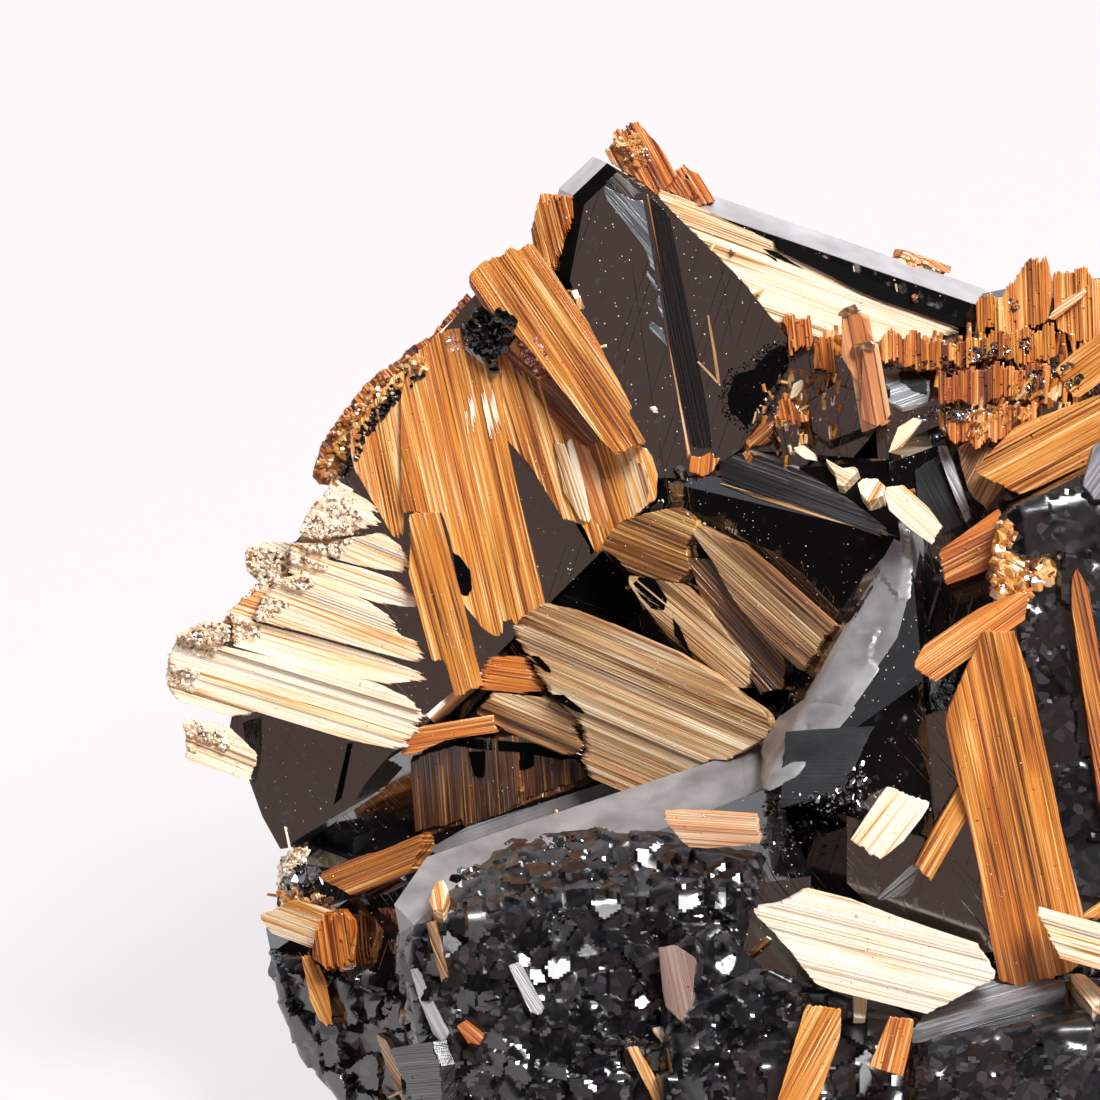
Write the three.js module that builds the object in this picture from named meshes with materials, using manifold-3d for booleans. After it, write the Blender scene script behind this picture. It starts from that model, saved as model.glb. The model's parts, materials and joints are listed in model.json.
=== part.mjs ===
import * as THREE from 'three';
import { ConvexGeometry } from 'three/addons/geometries/ConvexGeometry.js';
import { mergeVertices } from 'three/addons/utils/BufferGeometryUtils.js';
import Module from 'manifold-3d';

// Rutile on hematite: a cluster of black tabular hematite crystals, sawn off flat below,
// with sheets, blades and prisms of golden rutile lying on its faces.
//
// Outlines are given as seen by a viewer who looks down on the specimen:
// u runs to the right, v up the view and w toward the viewer, all in millimetres.

const VIEW_ELEVATION = 25;      // degrees that the viewer looks down by
const CUT_HEIGHT = -15.4;       // height of the sawn base, below the middle of the view
const GAP = 0.12;               // clear space between a rutile piece and what it grew on
const LATH_OVERLAP = 0.02;      // how far one lath's lowering runs into the next
const BEYOND = 1;               // how far a cutting block reaches past what it cuts
const SAW_BLOCK = 80;           // edge of the block that stands for everything below the cut
const WELD = 1e-5;              // corners closer than this are one corner
const NARROWEST_LATH = 0.6;     // share of the narrowest lath, where the widest has 1 more

const BACK_CORNERS = 6;         // corners of a back crystal's outline
const BACK_TURN = 0.2;          // how far round each outline is turned, in corners
const BACK_NARROW = 0.9;        // reach of every second corner against the others
const BACK_BEVEL = 0.82;        // width of a back crystal's broad face against its waist
const BACK_WAIST = 0.2;         // half height of that waist against the thickness

// Steps and wrapping numbers of the repeatable stream of numbers.
const NAME_STEP = 31;
const NAME_WRAP = 65521;
const STREAM_STEP = 75;
const STREAM_WRAP = 65537;

const wasm = await Module();
wasm.setup();

const viewFrame = new THREE.Matrix4().makeRotationX(THREE.MathUtils.degToRad(90 - VIEW_ELEVATION));

function point(u, v, w, frame = viewFrame) {
  return new THREE.Vector3(u, v, w).applyMatrix4(frame);
}

// A repeatable stream of numbers from 0 to 1, started from a piece's name.
function numbersFor(name) {
  let state = name.length;
  for (const letter of name) {
    state = (state * NAME_STEP + letter.charCodeAt(0)) % NAME_WRAP;
  }
  return () => {
    state = (state * STREAM_STEP + STREAM_STEP - 1) % STREAM_WRAP;
    return state / STREAM_WRAP;
  };
}

function toManifold(geometry) {
  geometry.deleteAttribute('normal');
  geometry.deleteAttribute('uv');
  const merged = mergeVertices(geometry, WELD);
  const vertProperties = new Float32Array(merged.attributes.position.array);
  const triVerts = new Uint32Array(merged.index.array);
  return new wasm.Manifold(new wasm.Mesh({ numProp: 3, vertProperties, triVerts }));
}

function toGeometry(solid) {
  const { vertProperties, triVerts } = solid.getMesh();
  const geometry = new THREE.BufferGeometry();
  geometry.setAttribute('position', new THREE.BufferAttribute(vertProperties, 3));
  geometry.setIndex(new THREE.BufferAttribute(triVerts, 1));
  geometry.computeVertexNormals();
  return geometry;
}

// A face's plane: its level w at the point (u, v), and how fast w rises with u and with v.
function plane(level, riseU = 0, riseV = 0, atU = 0, atV = 0) {
  return (u, v) => level + riseU * (u - atU) + riseV * (v - atV);
}

// The corners of a convex crystal, swollen by a clearance all round.
function swollen(corners, clearance) {
  if (clearance === 0) {
    return corners;
  }
  const reach = [-clearance, clearance];
  return corners.flatMap(([a, b, c]) => (
    reach.flatMap((da) => reach.flatMap((db) => reach.map((dc) => [a + da, b + db, c + dc])))
  ));
}

// A convex crystal from its corners, each [u, v, w].
function block(corners, clearance = 0, frame = viewFrame) {
  const points = swollen(corners, clearance).map(([u, v, w]) => point(u, v, w, frame));
  return toManifold(new ConvexGeometry(points));
}

// A tabular crystal: a front face in its plane, then the same outline at each [depth, du, dv].
function tablet(face, front, layers) {
  return [[0, 0, 0], ...layers].flatMap(([depth, du, dv]) => (
    face.map(([u, v]) => [u + du, v + dv, front(u, v) - depth])
  ));
}

// The wall plane holds the peak, the fan and the left sheets, square to the view.
const wall = plane(0);
const peakPlane = plane(-0.25);
const armPlane = plane(-1.1, -0.12, -0.15, 3, 8);
const centrePlane = plane(0.1, 0.38, 0.02, -1, -2);
const ridgeTop = plane(4.5, 0.2, -1.3, 0, -8);
const ridgeArm = plane(3.0, 0.9, -0.6, 5.9, -5.2);

// Points given as [u, v] are set on a plane.
function onPlane(outline, front) {
  return outline.map(([u, v]) => [u, v, front(u, v)]);
}

const HEMATITE = [
  // The peak crystal: a dark face toward the viewer, bevels at its upper left.
  tablet(
    [[1.9, 10.5], [2.9, 9.9], [5.4, 7.4], [6.6, 5.9], [6.2, 4.2], [5.3, 2.8],
      [4.1, 2.0], [2.9, 2.0], [1.5, 5.0], [0.55, 7.5], [0.95, 9.6]],
    peakPlane, [[0.4, -0.3, 0.25], [2.2, -0.7, 0.45], [4.5, -0.2, -0.3]],
  ),
  // The slab that runs from the peak to the right, with a narrow top face.
  tablet(
    [[2.3, 10.1], [4.6, 9.15], [12.05, 6.75], [11.9, 5.7], [9, 4.6], [5, 4.6], [3, 8.2]],
    armPlane, [[1.6, 0.1, 0.5], [3.6, 0.2, 0.0]],
  ),
  // The wall crystal under the fan.
  tablet(
    [[0.4, 7.2], [-0.5, 8.1], [-1.9, 7.3], [-4.1, 4.8], [-5.2, 3.3], [-6.0, 1.8],
      [-6.1, 0.2], [-5.4, -3.4], [-3.5, -4.9], [-0.2, -1.4], [1.4, 0.1], [2.9, 1.4], [2.9, 2.3]],
    wall, [[0.5, 0.0, 0.0], [1.4, 0.3, -0.2], [5.0, 0.9, -0.6]],
  ),
  // The small lump between the blade and the fan.
  [
    [-2.4, 6.2, 0.5], [-2.0, 6.65, 0.8], [-1.5, 6.5, 1.0], [-1.1, 6.0, 0.9], [-1.3, 5.5, 0.9],
    [-1.9, 5.2, 0.6], [-2.4, 5.6, 0.5], [-2.3, 6.1, -0.6], [-1.2, 6.0, -0.6], [-1.8, 5.4, -0.6],
  ],
  // The wall crystal under the left sheets.
  tablet(
    [[-6.2, 1.2], [-3.8, 0.5], [-3.6, -4.9], [-7.4, -4.4], [-9.4, -3.7], [-9.7, -2.7], [-8.2, -1.4]],
    plane(-0.1), [[1.4, 0.3, -0.2], [3.4, 1.6, -0.4]],
  ),
  // The dark crystal below the left sheets, and the black face that it steps back to.
  tablet(
    [[-8.8, -4.4], [-4.0, -4.4], [-3.8, -5.8], [-4.8, -6.7], [-6.0, -7.15], [-7.5, -8.3],
      [-8.0, -7.4], [-8.4, -5.9], [-8.9, -4.9]],
    plane(-0.45), [[0.6, 0.1, 0.0], [3.2, 1.4, 0.2]],
  ),
  tablet(
    [[-7.2, -8.0], [-6.0, -6.9], [-3.6, -5.2], [-2.9, -7.6], [-3.8, -9.2], [-6.3, -9.6]],
    plane(-0.9, 0.15, 0.35, -5, -7), [[3.5, 1.2, 0.4]],
  ),
  // The black face between the fan and the middle sheet.
  tablet(
    [[-0.9, -2.2], [1.4, 0.2], [3.1, 1.4], [4.4, -0.6], [4.0, -3.0], [0.5, -3.4]],
    plane(-0.45, -0.1, 0.12, 1, -1), [[4.0, 0.3, 0.3]],
  ),
  // The plate that carries the middle sheets.
  tablet(
    [[-1.0, -2.4], [0.2, -1.9], [1.5, -2.2], [5.4, -4.4], [5.6, -5.1], [3.0, -6.3], [1.6, -6.2],
      [0.2, -5.3], [-1.8, -4.6]],
    centrePlane, [[0.5, 0.1, 0.0], [2.6, 0.3, 0.6]],
  ),
  tablet(
    [[1.5, 0.0], [2.6, 0.9], [3.9, 0.6], [7.8, -2.4], [7.6, -3.4], [5.2, -3.4], [3.6, -2.6]],
    plane(0.2, 0.38, 0.0, 1.5, 0), [[0.4, 0.1, 0.1], [3.2, -0.2, 0.8]],
  ),
  // The black glossy crystal behind them, with a ridge across it.
  [
    [3.0, 1.95, -0.5], [3.0, 1.2, -0.5], [4.6, 2.05, 0.1], [9.7, 0.35, 3.6],
    [5.1, 2.8, -1.0], [9.4, 2.5, 1.2], [8.5, -2.4, 3.3], [9.8, -1.2, 3.9], [5.0, 0.0, 0.1],
    [3.6, 1.0, -4], [9.0, 2.0, -4], [8.5, -3.0, -1],
  ],
  // The shaded crystal under the middle sheet.
  tablet(
    [[-3.9, -5.4], [-1.6, -4.9], [1.0, -5.2], [2.6, -6.2], [2.2, -8.5], [-3.9, -9.8]],
    plane(-0.2, 0.1, 0.25, -1, -5.5), [[3.5, 0.4, 0.2]],
  ),
  // The ridge in front: a grey top face and a rough front.
  [
    ...onPlane([[-4.3, -9.8], [-3.4, -8.5], [-1.4, -7.8], [2.8, -6.7], [5.9, -5.4],
      [-3.7, -10.4], [0, -8.8], [3, -7.6], [6.2, -6.5]], ridgeTop),
    [-3.2, -13.5, 6.3], [-2.4, -19.5, 6.6], [7.0, -20, 8.0], [7.2, -9.0, 6.6],
    [-3.0, -19.0, -2], [7.0, -19, -3], [5.5, -6.5, -1], [-3.0, -9.5, -1],
  ],
  [
    ...onPlane([[5.9, -5.4], [6.7, -4.1], [8.2, -2.6], [9.2, 0.4], [9.9, 0.9],
      [9.6, -3.0], [8.1, -4.7], [6.3, -6.1]], ridgeArm),
    [5.9, -6.7, 6.3], [8.4, -7.0, 6.9], [10.3, -3.6, 6.0], [10.6, -8.0, 6.5],
    [10.4, 0.6, 1.0], [6.2, -5.5, -1], [10.5, -8.5, -2],
  ],
  // The crag at the lower left, broken along curved faces.
  [
    [-7.9, -10.5, -0.6], [-7.75, -11.2, 0.3], [-7.1, -12.7, 0.5], [-6.8, -13.9, 0.3],
    [-6.0, -14.7, 0.2], [-4.5, -15.7, 0.0], [-3.9, -17.2, 0.4], [-5.6, -9.7, 1.4],
    [-4.0, -11.0, 2.4], [-3.4, -14.0, 2.6], [-2.8, -18.0, 2.4], [-3.5, -9.6, 0.5],
    [-6.9, -9.8, -2.6], [-5.8, -14.4, -3.4], [-3.4, -17.0, -5], [-2.0, -9.0, -4],
  ],
  [
    [-7.6, -9.9, -0.8], [-7.5, -8.6, -0.9], [-6.7, -8.2, -0.7], [-5.2, -9.0, 0.9],
    [-3.9, -9.2, 2.0], [-3.6, -10.6, 2.2], [-6.6, -10.4, 0.2], [-4.5, -8.6, -2],
    [-6.8, -9.4, -3], [-3.4, -10.5, -3],
  ],
  // The low crystals in front of the ridge.
  [
    [-3.9, -13.4, 2.6], [-2.2, -12.9, 6.9], [1.2, -12.6, 7.6], [2.0, -14.6, 8.3],
    [-3.4, -15.2, 5.0], [-3.3, -19.5, 5.2], [2.4, -20.5, 8.2], [1.0, -12.0, 2], [-3.4, -18, -1],
  ],
  [
    [3.4, -11.2, 7.4], [4.6, -10.4, 7.0], [6.9, -12.4, 8.6], [7.6, -15.6, 9.2],
    [3.6, -16.0, 9.0], [3.2, -20.8, 8.8], [9.5, -21.2, 9.6], [4.0, -11.0, 2], [9.0, -19, 2],
  ],
  // The stepped crystals at the right, each tread lower and nearer than the last.
  tablet(
    [[11.6, 6.6], [13.6, 7.0], [15.6, 7.1], [18.4, 5.8], [19.6, 2.0], [11.4, 2.0]],
    plane(-1.9, 0.0, -0.1, 13, 6), [[1.2, 0.2, 0.5], [4.2, -0.4, -0.6]],
  ),
  tablet(
    [[8.9, 5.3], [10.6, 5.1], [12.4, 5.8], [14.2, 5.6], [16.4, 4.6], [16.8, 1.4], [9.2, 1.4]],
    plane(-0.7, 0.0, -0.1, 12, 5), [[1.3, 0.1, 0.6], [4.0, 0.3, 0.1]],
  ),
  tablet(
    [[9.3, 4.0], [10.9, 4.1], [13.5, 4.5], [15.4, 3.4], [15.6, 0.6], [9.5, 0.4]],
    plane(0.5, 0.05, -0.1, 12, 4), [[1.2, 0.0, 0.9], [4.0, 0.2, 0.2]],
  ),
  tablet(
    [[9.4, 2.4], [11.0, 3.0], [13.2, 3.1], [15.0, 2.4], [16.6, 0.6], [16.0, -3.0], [9.6, -3.0]],
    plane(2.0, 0.12, -0.15, 12, 2), [[1.6, 0.0, 0.7], [6.0, 0.4, 0.4]],
  ),
  // The small dark facets between the peak and the steps.
  tablet(
    [[6.3, 3.4], [6.9, 3.5], [7.3, 2.6], [7.0, 2.2], [6.5, 2.4]],
    plane(0.5, 0.1, 0.0, 6.8, 3), [[1.8, -0.1, 0.0]],
  ),
  tablet(
    [[7.2, 4.1], [7.9, 4.6], [8.5, 4.4], [8.7, 3.4], [7.7, 3.0], [7.3, 3.3]],
    plane(0.3, 0.1, 0.0, 8, 4), [[2.0, 0.0, 0.1]],
  ),
  tablet(
    [[5.6, 5.6], [6.9, 5.9], [8.9, 5.7], [9.3, 3.6], [8.2, 2.3], [5.2, 2.6]],
    plane(-0.9, 0.05, -0.1, 7, 4), [[3.0, 0.2, 0.2]],
  ),
  // The large dark crystals of the right foreground.
  tablet(
    [[12.4, 0.9], [14.9, 2.2], [18.3, 1.6], [20.8, -2.4], [20.6, -8.0], [17.8, -11.6],
      [13.8, -11.6], [12.1, -6.0]],
    plane(4.9, -0.12, -0.03, 14, -4), [[0.8, 0.3, 0.3], [6.5, 0.6, 0.6]],
  ),
  tablet(
    [[9.2, -4.9], [11.3, -4.3], [12.9, -5.4], [13.2, -11.0], [10.4, -11.3], [8.2, -9.2], [8.2, -6.8]],
    plane(5.6, 0.02, 0.05, 10, -8), [[5.5, 0.2, 0.4]],
  ),
  [
    [10.1, -13.4, 8.4], [11.3, -12.2, 6.9], [15.2, -11.8, 6.2], [18.2, -12.8, 5.4],
    [15.6, -13.2, 8.3], [10.8, -21.0, 9.6], [17.0, -20.6, 7.4], [19.0, -18.6, 2], [11.0, -13.0, 1],
  ],
  [
    [5.8, -12.3, 7.6], [8.6, -12.1, 7.2], [10.6, -13.2, 7.8], [10.8, -20.8, 9.0],
    [6.4, -20.8, 9.2], [8.0, -11.4, 1], [11.0, -19, 0],
  ],
];

// Crystals behind the view: the middle of each, its width and thickness, the compass angle
// that its broad face looks to and how far that face looks up, in degrees.
const BACK_CRYSTALS = {
  topLeft: { middle: [1.0, 8.0, 0.5], width: 9.0, thickness: 3.4, facing: 100, leaning: 25 },
  top: { middle: [8.5, 9.6, -1.5], width: 9.5, thickness: 3.0, facing: 80, leaning: 12 },
  left: { middle: [-3.4, 6.4, -5.0], width: 8.2, thickness: 3.2, facing: 130, leaning: 10 },
  topRight: { middle: [14.6, 7.4, -4.0], width: 8.6, thickness: 3.4, facing: 50, leaning: 22 },
  middle: { middle: [5.0, 10.0, -8.0], width: 8.8, thickness: 3.6, facing: 95, leaning: -8 },
  right: { middle: [18.2, 2.6, -5.5], width: 7.4, thickness: 3.2, facing: 15, leaning: 15 },
  lowLeft: { middle: [-5.0, 2.0, -10.5], width: 7.2, thickness: 3.0, facing: 165, leaning: 5 },
  lowRight: { middle: [12.5, 8.6, -11.0], width: 8.4, thickness: 3.4, facing: 65, leaning: -5 },
};

// The frame of a back crystal's broad face: u along it, v up it and w out of it.
function faceFrame({ middle, facing, leaning }) {
  const axes = new THREE.Matrix4().makeBasis(
    new THREE.Vector3(0, 1, 0), new THREE.Vector3(0, 0, 1), new THREE.Vector3(1, 0, 0),
  );
  const lean = new THREE.Matrix4().makeRotationY(-THREE.MathUtils.degToRad(leaning));
  const turn = new THREE.Matrix4().makeRotationZ(THREE.MathUtils.degToRad(facing));
  return new THREE.Matrix4().makeTranslation(...middle).multiply(turn).multiply(lean).multiply(axes);
}

function backCrystal(crystal, clearance = 0) {
  const corners = [];
  const rings = [[-0.5, BACK_BEVEL], [-BACK_WAIST, 1], [BACK_WAIST, 1], [0.5, BACK_BEVEL]];
  for (const [level, share] of rings) {
    for (let k = 0; k < BACK_CORNERS; k += 1) {
      const angle = (2 * Math.PI * (k + BACK_TURN)) / BACK_CORNERS;
      const radius = crystal.width / 2 * share * (k % 2 ? 1 : BACK_NARROW);
      corners.push([radius * Math.cos(angle), radius * Math.sin(angle), level * crystal.thickness]);
    }
  }
  return block(corners, clearance, faceFrame(crystal));
}

// The massive middle of the cluster, in specimen axes [x, y, z].
const CORE = [
  [-5.2, -6.8, CUT_HEIGHT - BEYOND], [2.5, -12.6, CUT_HEIGHT - BEYOND], [14.5, -11.8, CUT_HEIGHT - BEYOND],
  [19.4, -4.0, CUT_HEIGHT - BEYOND], [17.2, 8.2, CUT_HEIGHT - BEYOND], [6.0, 11.2, CUT_HEIGHT - BEYOND],
  [-4.2, 7.0, CUT_HEIGHT - BEYOND], [-5.6, -3.2, -9.0], [-4.6, 3.4, -1.5], [0.6, 4.9, 3.4],
  [4.0, 6.6, 5.2], [9.5, 7.8, 2.0], [14.5, 5.6, 0.6], [18.4, 2.0, -5.0], [16.8, -4.6, -5.4],
  [8.4, -3.6, -4.2], [2.4, -3.2, -5.6], [6.0, 9.8, -4.0], [0.0, 8.2, -6.0],
];

function core(clearance = 0) {
  const points = swollen(CORE, clearance).map((corner) => new THREE.Vector3(...corner));
  return toManifold(new ConvexGeometry(points));
}

// The largest body of a solid alone, which also fills any space sealed inside it.
function largestBody(solid) {
  const bodies = solid.decompose();
  return bodies.reduce((best, body) => (body.volume() > best.volume() ? body : best));
}

function cluster(clearance = 0) {
  const solids = [
    core(clearance),
    ...HEMATITE.map((corners) => block(corners, clearance)),
    ...Object.values(BACK_CRYSTALS).map((crystal) => backCrystal(crystal, clearance)),
  ];
  return solids.reduce((joined, solid) => joined.add(solid));
}

const belowCut = toManifold(new THREE.BoxGeometry(SAW_BLOCK, SAW_BLOCK, SAW_BLOCK).translate(
  0, 0, CUT_HEIGHT - SAW_BLOCK / 2,
));
const hematiteCluster = largestBody(cluster().subtract(belowCut));
const occupied = [largestBody(cluster(GAP))];

// A closed prism on an outline, between two heights over its plane.
function prism(outline, front, low, high, frame = viewFrame) {
  const flat = outline.map(([u, v]) => new THREE.Vector2(u, v));
  if (THREE.ShapeUtils.isClockWise(flat)) {
    flat.reverse();
  }
  const count = flat.length;
  const positions = [low, high].flatMap((height) => (
    flat.flatMap(({ x, y }) => point(x, y, front(x, y) + height, frame).toArray())
  ));
  const caps = THREE.ShapeUtils.triangulateShape(flat, []);
  const faces = caps.flatMap(([a, b, c]) => [c, b, a, a + count, b + count, c + count]);
  for (let k = 0; k < count; k += 1) {
    const next = (k + 1) % count;
    faces.push(k, next, next + count, k, next + count, k + count);
  }
  const geometry = new THREE.BufferGeometry();
  geometry.setAttribute('position', new THREE.Float32BufferAttribute(positions, 3));
  geometry.setIndex(faces);
  return toManifold(geometry);
}

// An outline moved outward by a clearance, corner by corner.
function grown(outline, clearance) {
  const sense = THREE.ShapeUtils.area(outline.map(([u, v]) => new THREE.Vector2(u, v))) > 0 ? 1 : -1;
  return outline.map((corner, k) => {
    const before = outline[(k + outline.length - 1) % outline.length];
    const after = outline[(k + 1) % outline.length];
    const along = new THREE.Vector2(after[0] - before[0], after[1] - before[1]).normalize();
    return [corner[0] + sense * along.y * clearance, corner[1] - sense * along.x * clearance];
  });
}

// A sheet of laths grown side by side along the grain, an angle up from u in degrees: a prism
// on the outline, lowered over each lath's strip to a thickness of its own.
function sheet({ name, outline, grain, front, laths, thin, thick, frame = viewFrame }) {
  const turn = THREE.MathUtils.degToRad(grain);
  const [cos, sin] = [Math.cos(turn), Math.sin(turn)];
  const sides = outline.map(([u, v]) => v * cos - u * sin);
  const ends = outline.map(([u, v]) => u * cos + v * sin);
  const [first, last] = [Math.min(...sides), Math.max(...sides)];
  const next = numbersFor(name);
  const widths = Array.from({ length: laths }, () => NARROWEST_LATH + next());
  const total = widths.reduce((sum, width) => sum + width, 0);
  let solid = prism(outline, front, GAP, GAP + thick, frame);
  let low = first;
  for (const share of widths) {
    const high = low + share / total * (last - first);
    const height = GAP + thin + (thick - thin) * next();
    const corners = [];
    for (const s of [Math.min(...ends) - BEYOND, Math.max(...ends) + BEYOND]) {
      for (const t of [low - LATH_OVERLAP, high + LATH_OVERLAP]) {
        const [u, v] = [s * cos - t * sin, s * sin + t * cos];
        corners.push([u, v, front(u, v) + height], [u, v, front(u, v) + thick + BEYOND]);
      }
    }
    solid = solid.subtract(block(corners, 0, frame));
    low = high;
  }
  return solid;
}

const AMBER = { color: 0xc8813a, roughness: 0.38, metalness: 0.0 };
const CREAM = { color: 0xf2dcb4, roughness: 0.42, metalness: 0.0 };
const ORANGE = { color: 0xd6722a, roughness: 0.36, metalness: 0.0 };
const BROWN = { color: 0x74471f, roughness: 0.4, metalness: 0.0 };
const BLACK = { color: 0x2a2426, roughness: 0.18, metalness: 0.85 };

// The rutile pieces, topmost first: a later piece gives way to those before it.
const RUTILE = [
  {
    name: 'fan_blade', finish: AMBER, grain: -56, front: plane(0.55, 0, 0.02, 0, 5), laths: 7,
    thin: 0.45, thick: 0.85,
    outline: [[-2.17, 7.45], [-2.12, 7.7], [-1.85, 7.95], [-1.3, 8.12], [-1.12, 8.32], [-0.95, 8.22],
      [-0.5, 8.45], [0.0, 7.75], [0.5, 6.95], [0.95, 6.35], [1.55, 5.15], [2.2, 4.0], [2.1, 3.75],
      [2.6, 2.95], [2.35, 2.95], [1.9, 2.7], [1.3, 3.3], [0.5, 4.4], [0.0, 5.0], [-0.6, 5.75],
      [-1.2, 6.3], [-2.0, 7.0]],
  },
  {
    name: 'fan_lath_block', finish: AMBER, grain: -75, front: wall, laths: 4,
    thin: 0.6, thick: 0.9,
    outline: [[-3.85, 0.95], [-3.05, 1.0], [-2.75, 0.0], [-2.45, -1.6], [-2.1, -3.1], [-1.9, -3.7],
      [-2.6, -4.0], [-2.75, -3.3], [-2.95, -2.85], [-3.2, -3.05], [-3.5, -2.2], [-3.85, -0.8],
      [-3.8, 0.2]],
  },
  {
    name: 'fan_sheet_middle', finish: AMBER, grain: -77, front: wall, laths: 8,
    thin: 0.18, thick: 0.5,
    outline: [[-2.6, 6.05], [-3.1, 5.85], [-3.75, 5.1], [-4.0, 4.2], [-4.0, 1.15], [-2.9, 1.15],
      [-2.6, 0.2], [-2.25, -1.1], [-2.35, -1.35], [-1.75, -2.05], [-1.4, -2.3], [-1.75, -1.3],
      [-1.35, -1.85], [-0.95, -1.85], [-0.85, -2.1], [-0.25, -1.5], [-0.8, 0.7], [-1.4, 3.2],
      [-1.5, 5.2]],
  },
  {
    name: 'fan_sheet_right', finish: AMBER, grain: -73, front: wall, laths: 8,
    thin: 0.15, thick: 0.42,
    outline: [[-1.2, 5.35], [-0.8, 5.85], [0.1, 4.9], [1.9, 2.9], [2.6, 2.65], [2.85, 2.3], [2.8, 1.45],
      [2.3, 1.15], [1.7, 0.5], [1.4, 0.0], [1.2, 0.3], [1.0, 0.85], [0.45, 1.0], [0.1, 1.55],
      [-0.4, 2.35], [-0.85, 2.9], [-1.2, 3.3]],
  },
  {
    name: 'fan_sheet_left', finish: AMBER, grain: -79, front: wall, laths: 5,
    thin: 0.15, thick: 0.32,
    outline: [[-4.15, 4.85], [-4.7, 4.1], [-5.4, 3.2], [-5.4, 2.5], [-4.75, 1.35], [-4.2, 0.4]],
  },
  {
    name: 'fan_rim', finish: ORANGE, grain: -48, front: plane(-2.0), laths: 4,
    thin: 0.3, thick: 0.5,
    outline: [[-6.45, 2.0], [-6.2, 3.0], [-5.5, 4.0], [-4.9, 4.65], [-4.1, 5.3], [-3.2, 5.9],
      [-2.3, 7.0], [-2.0, 6.4], [-3.6, 4.6], [-4.9, 3.2], [-5.7, 1.9]],
  },
  {
    name: 'peak_side_patch', finish: ORANGE, grain: -76, front: plane(-1.3, 0.5, 0, 0, 8.5), laths: 4,
    thin: 0.3, thick: 0.6,
    outline: [[-0.35, 8.9], [0.0, 9.6], [0.45, 10.05], [0.85, 9.8], [0.8, 8.6], [0.5, 7.2],
      [0.2, 7.1], [-0.2, 8.0]],
  },
  {
    name: 'peak_crown_left', finish: ORANGE, grain: -62, front: plane(-2.6), laths: 4,
    thin: 0.7, thick: 1.4,
    outline: [[1.6, 11.15], [2.0, 11.65], [2.4, 11.85], [3.0, 11.2], [3.45, 10.5], [3.0, 9.9],
      [2.2, 10.3], [1.7, 10.8]],
  },
  {
    name: 'peak_crown_right', finish: ORANGE, grain: -58, front: plane(-2.7), laths: 4,
    thin: 0.5, thick: 1.1,
    outline: [[3.4, 10.6], [3.7, 10.6], [4.2, 10.35], [4.45, 9.95], [4.8, 9.2], [4.2, 8.9],
      [3.2, 9.5]],
  },
  {
    name: 'arm_sheet', finish: CREAM, grain: -20, front: armPlane, laths: 8,
    thin: 0.15, thick: 0.4,
    outline: [[2.2, 10.35], [3.2, 9.95], [4.6, 9.15], [7.0, 8.05], [10.0, 6.75], [11.6, 6.1],
      [11.4, 5.85], [10.0, 5.8], [8.0, 5.95], [6.7, 6.0], [5.6, 7.0], [5.4, 7.6], [2.9, 9.95]],
  },
  {
    name: 'arm_back_lump', finish: ORANGE, grain: -18, front: plane(-4.6), laths: 3,
    thin: 0.5, thick: 0.9,
    outline: [[9.0, 8.15], [9.9, 8.1], [10.85, 7.75], [10.7, 7.3], [9.0, 7.5]],
  },
  {
    name: 'left_sheet_top', finish: CREAM, grain: -28, front: plane(0.05), laths: 5,
    thin: 0.25, thick: 0.5,
    outline: [[-6.05, 1.95], [-5.7, 1.65], [-4.95, 1.3], [-5.05, 1.2], [-4.7, 1.1], [-4.9, 0.92],
      [-4.65, 0.65], [-5.0, 0.77], [-5.6, 0.62], [-5.4, 0.45], [-6.4, 0.35], [-6.95, 0.5],
      [-6.4, 1.3]],
  },
  {
    name: 'left_sheet_second', finish: CREAM, grain: -22, front: wall, laths: 3,
    thin: 0.3, thick: 0.5,
    outline: [[-6.15, 0.15], [-5.3, 0.3], [-4.75, 0.4], [-4.4, 0.3], [-3.8, -0.15], [-3.78, -0.4],
      [-4.0, -0.52], [-4.9, -0.42], [-6.1, -0.15]],
  },
  {
    name: 'left_sheet_third', finish: CREAM, grain: -19, front: wall, laths: 4,
    thin: 0.2, thick: 0.42,
    outline: [[-7.15, 0.1], [-6.35, 0.15], [-6.2, -0.35], [-4.9, -0.65], [-4.2, -0.95], [-3.7, -1.5],
      [-4.6, -1.45], [-5.6, -1.15], [-7.2, -0.6]],
  },
  {
    name: 'left_sheet_fourth', finish: CREAM, grain: -20, front: wall, laths: 5,
    thin: 0.3, thick: 0.55,
    outline: [[-8.0, -1.6], [-7.6, -0.9], [-6.9, -0.75], [-5.8, -1.15], [-5.0, -1.5], [-4.3, -2.1],
      [-3.85, -2.6], [-3.5, -2.65], [-3.62, -2.8], [-3.4, -2.92], [-3.7, -3.05], [-4.9, -2.75],
      [-6.5, -2.3], [-8.2, -1.9]],
  },
  {
    name: 'left_sheet_fifth', finish: CREAM, grain: -16, front: wall, laths: 4,
    thin: 0.2, thick: 0.4,
    outline: [[-8.85, -1.75], [-8.2, -2.1], [-6.6, -2.5], [-4.9, -2.95], [-3.6, -3.5], [-4.7, -3.64],
      [-6.5, -3.2], [-8.7, -2.68]],
  },
  {
    name: 'left_sheet_lowest', finish: CREAM, grain: -17, front: wall, laths: 7,
    thin: 0.5, thick: 0.9,
    outline: [[-10.6, -3.2], [-10.3, -2.45], [-9.5, -2.0], [-8.95, -2.1], [-8.9, -2.8], [-6.5, -3.33],
      [-4.75, -3.78], [-3.65, -4.3], [-3.6, -4.9], [-4.15, -5.55], [-6.3, -5.0], [-8.0, -4.45],
      [-8.9, -4.6], [-10.3, -4.15], [-10.6, -3.7]],
  },
  {
    name: 'left_back_stub', finish: CREAM, grain: -25, front: plane(-2.2), laths: 3,
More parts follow.
